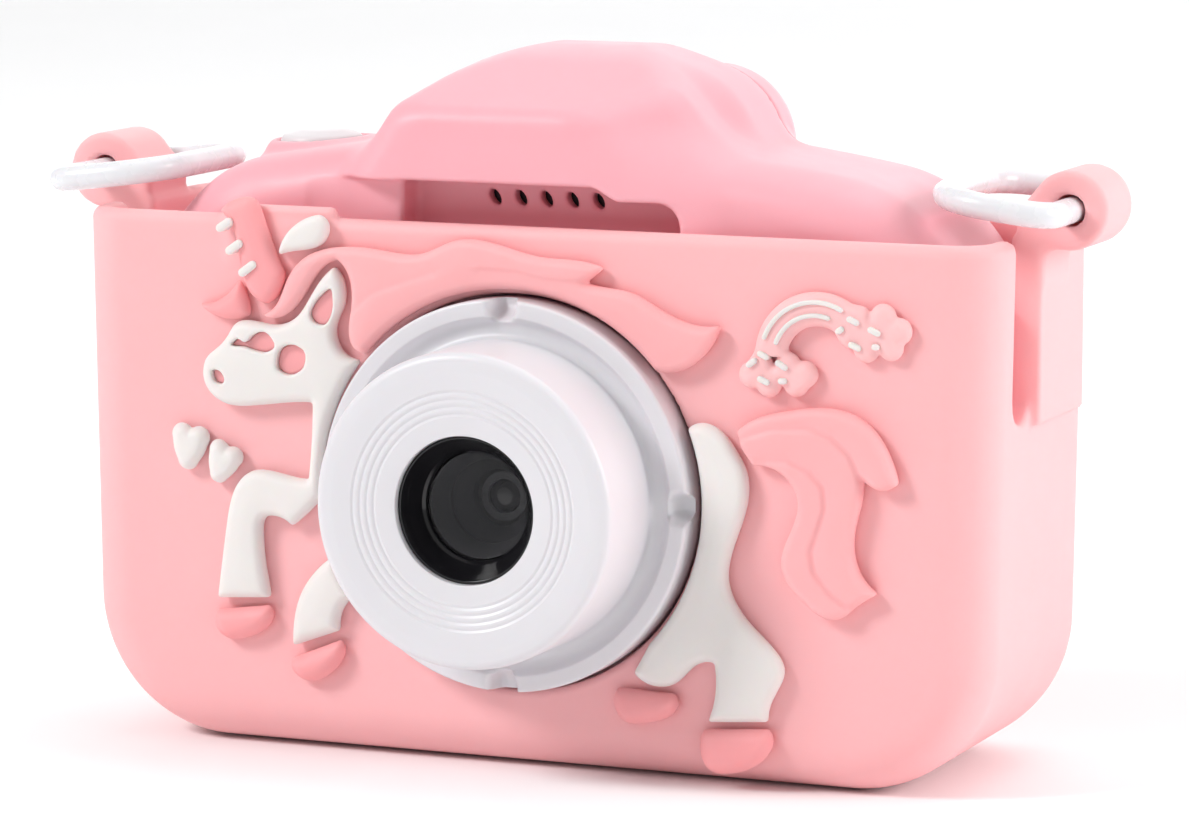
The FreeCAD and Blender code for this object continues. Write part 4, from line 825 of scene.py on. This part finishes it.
turned("lens_funnel", [
    (6.85, 27.35, 0.1), (7.1, 27.2, 0.05), (7.1, 17.4, 0.0), (4.3, 17.4, 0.0), (4.3, 19.0, 0.2),
    (5.3, 19.6, 0.2), (5.3, 24.7, 0.15), (5.6, 25.0, 0.15), (6.4, 26.4, 1.2)], LENS_CENTRE, "camera",
    closed=True, node="lens_bezel", slot="bezel_black", finish=bezel_black)
turned("lens_inner_cone", [
    (5.2, 24.0, 0.05), (4.1, 21.6, 0.3), (4.1, 21.2, 0.3), (2.7, 19.2, 0.1), (3.2, 19.2, 0.05),
    (5.2, 23.4, 0.05)],
    LENS_CENTRE, "camera", closed=True, node="lens_cone", slot="module_black", finish=inner_grey)
turned("lens_cover_glass", [
    (0.0, 24.6, 0.0), (5.2, 24.6, 0.12), (5.2, 24.1, 0.12), (0.0, 24.1, 0.0)], LENS_CENTRE, "camera",
    node="lens_window", slot="lens_glass", finish=glass)
turned("lens_element_front", [
    (0.0, 18.6, 0.0), (0.9, 18.45, 0.4), (1.65, 18.0, 0.1), (1.65, 16.7, 0.0), (0.0, 16.7, 0.0)],
    LENS_CENTRE, "camera", node="front_camera_lens", slot="lens_glass", finish=bezel_black)


# ---------------------------------------------------------------- buttons, display and ports

turned("shutter_cap", [
    (0.0, 60.28, 0.0), (2.4, 60.15, 3.0), (4.0, 59.6, 0.7), (4.3, 58.7, 0.5), (4.3, 54.1, 0.0),
    (5.2, 54.1, 0.0), (5.2, 53.3, 0.0), (0.0, 53.3, 0.0)], (SHUTTER[0], SHUTTER[1], 0), "shutter",
    upright=True, node="shutter_button", slot="button_white", finish=button_white)

KEY_PANEL = 11.9


def key_mark(label):
    """Flat symbol of a key about its own centre: an arrow, a ring, a play mark or a power mark."""
    turns = {"key_up": 90, "key_down": -90, "key_left": 180, "key_right": 0}

    def shape(x, z):
        if label in turns:
            angle = math.radians(turns[label])
            u = x * math.cos(angle) + z * math.sin(angle)
            v = z * math.cos(angle) - x * math.sin(angle)
            sides = meet(slope(u, v, (0.9, 0), (-0.7, 1.0)), slope(u, v, (-0.7, -1.0), (0.9, 0)), 0.15)
            return meet(sides, -0.6 - u, 0.15)
        if label == "key_playback":
            sides = meet(slope(x, z, (0.9, 0), (-0.6, 0.95)), slope(x, z, (-0.6, -0.95), (0.9, 0)), 0.1)
            return meet(sides, -0.5 - x, 0.1)
        ring = np.abs(np.hypot(x, z) - 1.0) - 0.2
        if label == "power_button":
            ring = np.maximum(ring, 0.45 - np.hypot(x, z - 1.0))
            return np.minimum(ring, plate(x, z, (-0.18, 0.3), (0.18, 1.45), 0.1))
        return ring
    return shape


def mark_shape(label, place):
    """Key mark at its place, drawn to read the right way round from behind."""
    outline = key_mark(label)

    def shape(x, y, z):
        return meet(outline(place[0] - x, z - place[1]), slab(y, 14.2, 14.72), 0.06)
    return shape


for label, place in key_places.items():
    turned("cap_" + label, [
        (0.0, -14.5, 0.0), (1.8, -14.5, 2.0), (2.55, -14.6, 0.5), (3.0, -14.2, 0.3),
        (3.0, -(KEY_PANEL - 0.15), 0.0), (3.6, -(KEY_PANEL - 0.15), 0.0), (3.6, -(KEY_PANEL - 0.9), 0.0),
        (0.0, -(KEY_PANEL - 0.9), 0.0)],
        (place[0], 0, place[1]), label, segments=96, node=label, slot="button_white", finish=button_white)
    moulded("mark_" + label, mark_shape(label, place),
            (steps(place[0] - 1.5, place[0] + 1.5, 0.1), steps(14.2, 14.75, 0.1),
             steps(place[1] - 1.5, place[1] + 1.5, 0.1)), label, slot="relief_pink", finish=relief_pink)


def display_shape(x, y, z):
    """Pane over the display."""
    pane = plate(x, z, (screen_low.x, screen_low.z), (screen_high.x, screen_high.z), 1.2)
    return meet(pane, slab(y, screen_low.y, screen_high.y), 0.25)


moulded("display_pane", display_shape,
        (steps(screen_low.x, screen_high.x, 0.35), steps(screen_low.y, screen_high.y, 0.15),
         steps(screen_low.z, screen_high.z, 0.35)),
        "camera", node="display_window", slot="lens_glass", finish=screen_black)
turned("rear_lens_cover", [
    (0.0, -15.15, 0.0), (2.6, -15.15, 0.1), (3.1, -14.9, 0.15), (3.1, -13.85, 0.0), (0.0, -13.85, 0.0)],
    (0, 0, 60.6), "camera", segments=96, node="rear_camera_window", slot="lens_glass", finish=screen_black)


# ---------------------------------------------------------------- strap rings

RING_WIRE, RING_REACH, RING_LENGTH, RING_SLACK, RING_TILT = 1.25, 11.8, 21.5, 1.7, 7.0
RING_LUG_BEND, RING_BEND = 2.8, 6


def ring_points(sign, around=20, wire=28):
    """Round wire swept along a rounded rectangle that lies in over the shoulder.

    The right ring is slid back against its lug, the left one forward.
    """
    front = LUG_FRONT - RING_SLACK if sign > 0 else LUG_REAR + RING_SLACK - RING_LENGTH
    rear = front + RING_LENGTH
    corners = [(0, front, RING_LUG_BEND), (0, rear, RING_LUG_BEND),
               (-RING_REACH, rear, RING_BEND), (-RING_REACH, front, RING_BEND)]
    path = np.array(rounded_path(corners, closed=True))
    lengths = np.r_[0, np.cumsum(np.linalg.norm(np.roll(path, -1, 0) - path, axis=1))]
    closed = np.vstack([path, path[:1]])
    even = np.linspace(0, lengths[-1], around * 8, endpoint=False)
    path = np.stack([np.interp(even, lengths, closed[:, d]) for d in (0, 1)], 1)
    ahead = np.roll(path, -2, 0) - np.roll(path, 2, 0)
    ahead /= np.linalg.norm(ahead, axis=1, keepdims=True)
    side = np.stack([ahead[:, 1], -ahead[:, 0]], 1)
    angles = np.arange(wire) * 2 * math.pi / wire
    x = path[:, None, 0] + side[:, None, 0] * RING_WIRE * np.cos(angles)
    y = path[:, None, 1] + side[:, None, 1] * RING_WIRE * np.cos(angles)
    z = np.broadcast_to(RING_WIRE * np.sin(angles), x.shape)
    tilt = math.radians(RING_TILT)
    turned_x = x * math.cos(tilt) + z * math.sin(tilt)
    turned_z = z * math.cos(tilt) - x * math.sin(tilt)
    points = np.stack([sign * (LUG[0] + turned_x), y, LUG[1] + turned_z], -1).reshape(-1, 3)
    rows = len(path)
    faces = [(row * wire + col, (row + 1) % rows * wire + col, (row + 1) % rows * wire + (col + 1) % wire,
              row * wire + (col + 1) % wire) for row in range(rows) for col in range(wire)]
    return points, faces


for sign, label in ((1, "right"), (-1, "left")):
    outward(new_object("ring_wire_" + label, *ring_points(sign), "ring_" + label,
                       node="strap_ring_" + label, slot="ring_plastic", finish=ring_plastic))


# ---------------------------------------------------------------- finishes of the CAD nodes that stay

node_slots = {part["node"]: part["material_slot"] for part in frame["record"]["subparts"]}
for node, item in frame["nodes"].items():
    if item.hide_render:
        continue
    item.data.materials.clear()
    item.data.materials.append(FINISHES[node_slots[node]])


# ---------------------------------------------------------------- floor, light and camera

floor_material = material("floor_white", rgb(250, 250, 250), rgb(248, 248, 249), patch=4,
                          roughness=(0.7, 0.8), grain=400, bump=0.01, depth=0.0001)
backdrop_material = material("backdrop_white", rgb(250, 250, 250), rgb(248, 248, 249), patch=4,
                             roughness=(0.7, 0.8), grain=400, bump=0.01, depth=0.0001,
                             Emission_Color=(1.0, 1.0, 1.0, 1.0), Emission_Strength=0.9)


def stage_sheet(name, corners, finish):
    """Flat sheet of the studio, not part of the camera."""
    mesh = bpy.data.meshes.new(name)
    mesh.from_pydata(corners, [], [(0, 1, 2, 3)])
    mesh.materials.append(finish)
    sheet = bpy.data.objects.new(name, mesh)
    bpy.context.scene.collection.objects.link(sheet)


REACH, FLOOR = 1.6, -0.0002
stage_sheet("floor", [
    (-REACH, -REACH, FLOOR), (REACH, -REACH, FLOOR),
    (REACH, REACH, FLOOR), (-REACH, REACH, FLOOR)], floor_material)
stage_sheet("backdrop", [
    (-REACH, REACH, FLOOR), (REACH, REACH, FLOOR),
    (REACH, REACH, REACH), (-REACH, REACH, REACH)], backdrop_material)

world = bpy.data.worlds.new("studio")
bpy.context.scene.world = world
world.use_nodes = True
world.node_tree.nodes["Background"].inputs["Color"].default_value = (1.0, 1.0, 1.0, 1.0)
world.node_tree.nodes["Background"].inputs["Strength"].default_value = 0.42


def softbox(name, place, size, power, tint=(1.0, 1.0, 1.0), aim=(0, 0, 0.03)):
    """Square area light at a place, aimed at a point."""
    light = bpy.data.lights.new(name, "AREA")
    light.size = size
    light.energy = power
    light.color = tint
    lamp = bpy.data.objects.new(name, light)
    lamp.location = place
    lamp.rotation_euler = (Vector(aim) - Vector(place)).to_track_quat("-Z", "Y").to_euler()
    bpy.context.scene.collection.objects.link(lamp)


softbox("key", (-0.75, -0.70, 0.80), 0.35, 10.0)
softbox("side", (0.95, 0.05, 0.40), 0.45, 6.0)
softbox("top", (0.1, 0.25, 1.0), 0.8, 3.0)

camera = bpy.data.cameras.new("camera")
camera.sensor_width = 36.0
camera.lens = 157.5
camera.clip_start, camera.clip_end = 0.01, 20.0
viewer = bpy.data.objects.new("camera", camera)
viewer.location = (0.1981, -0.4714, 0.1073)
viewer.rotation_euler = Vector((-0.3812, 0.9132, -0.1442)).to_track_quat("-Z", "Y").to_euler()
bpy.context.scene.collection.objects.link(viewer)
bpy.context.scene.camera = viewer
bpy.context.scene.view_settings.view_transform = "Standard"
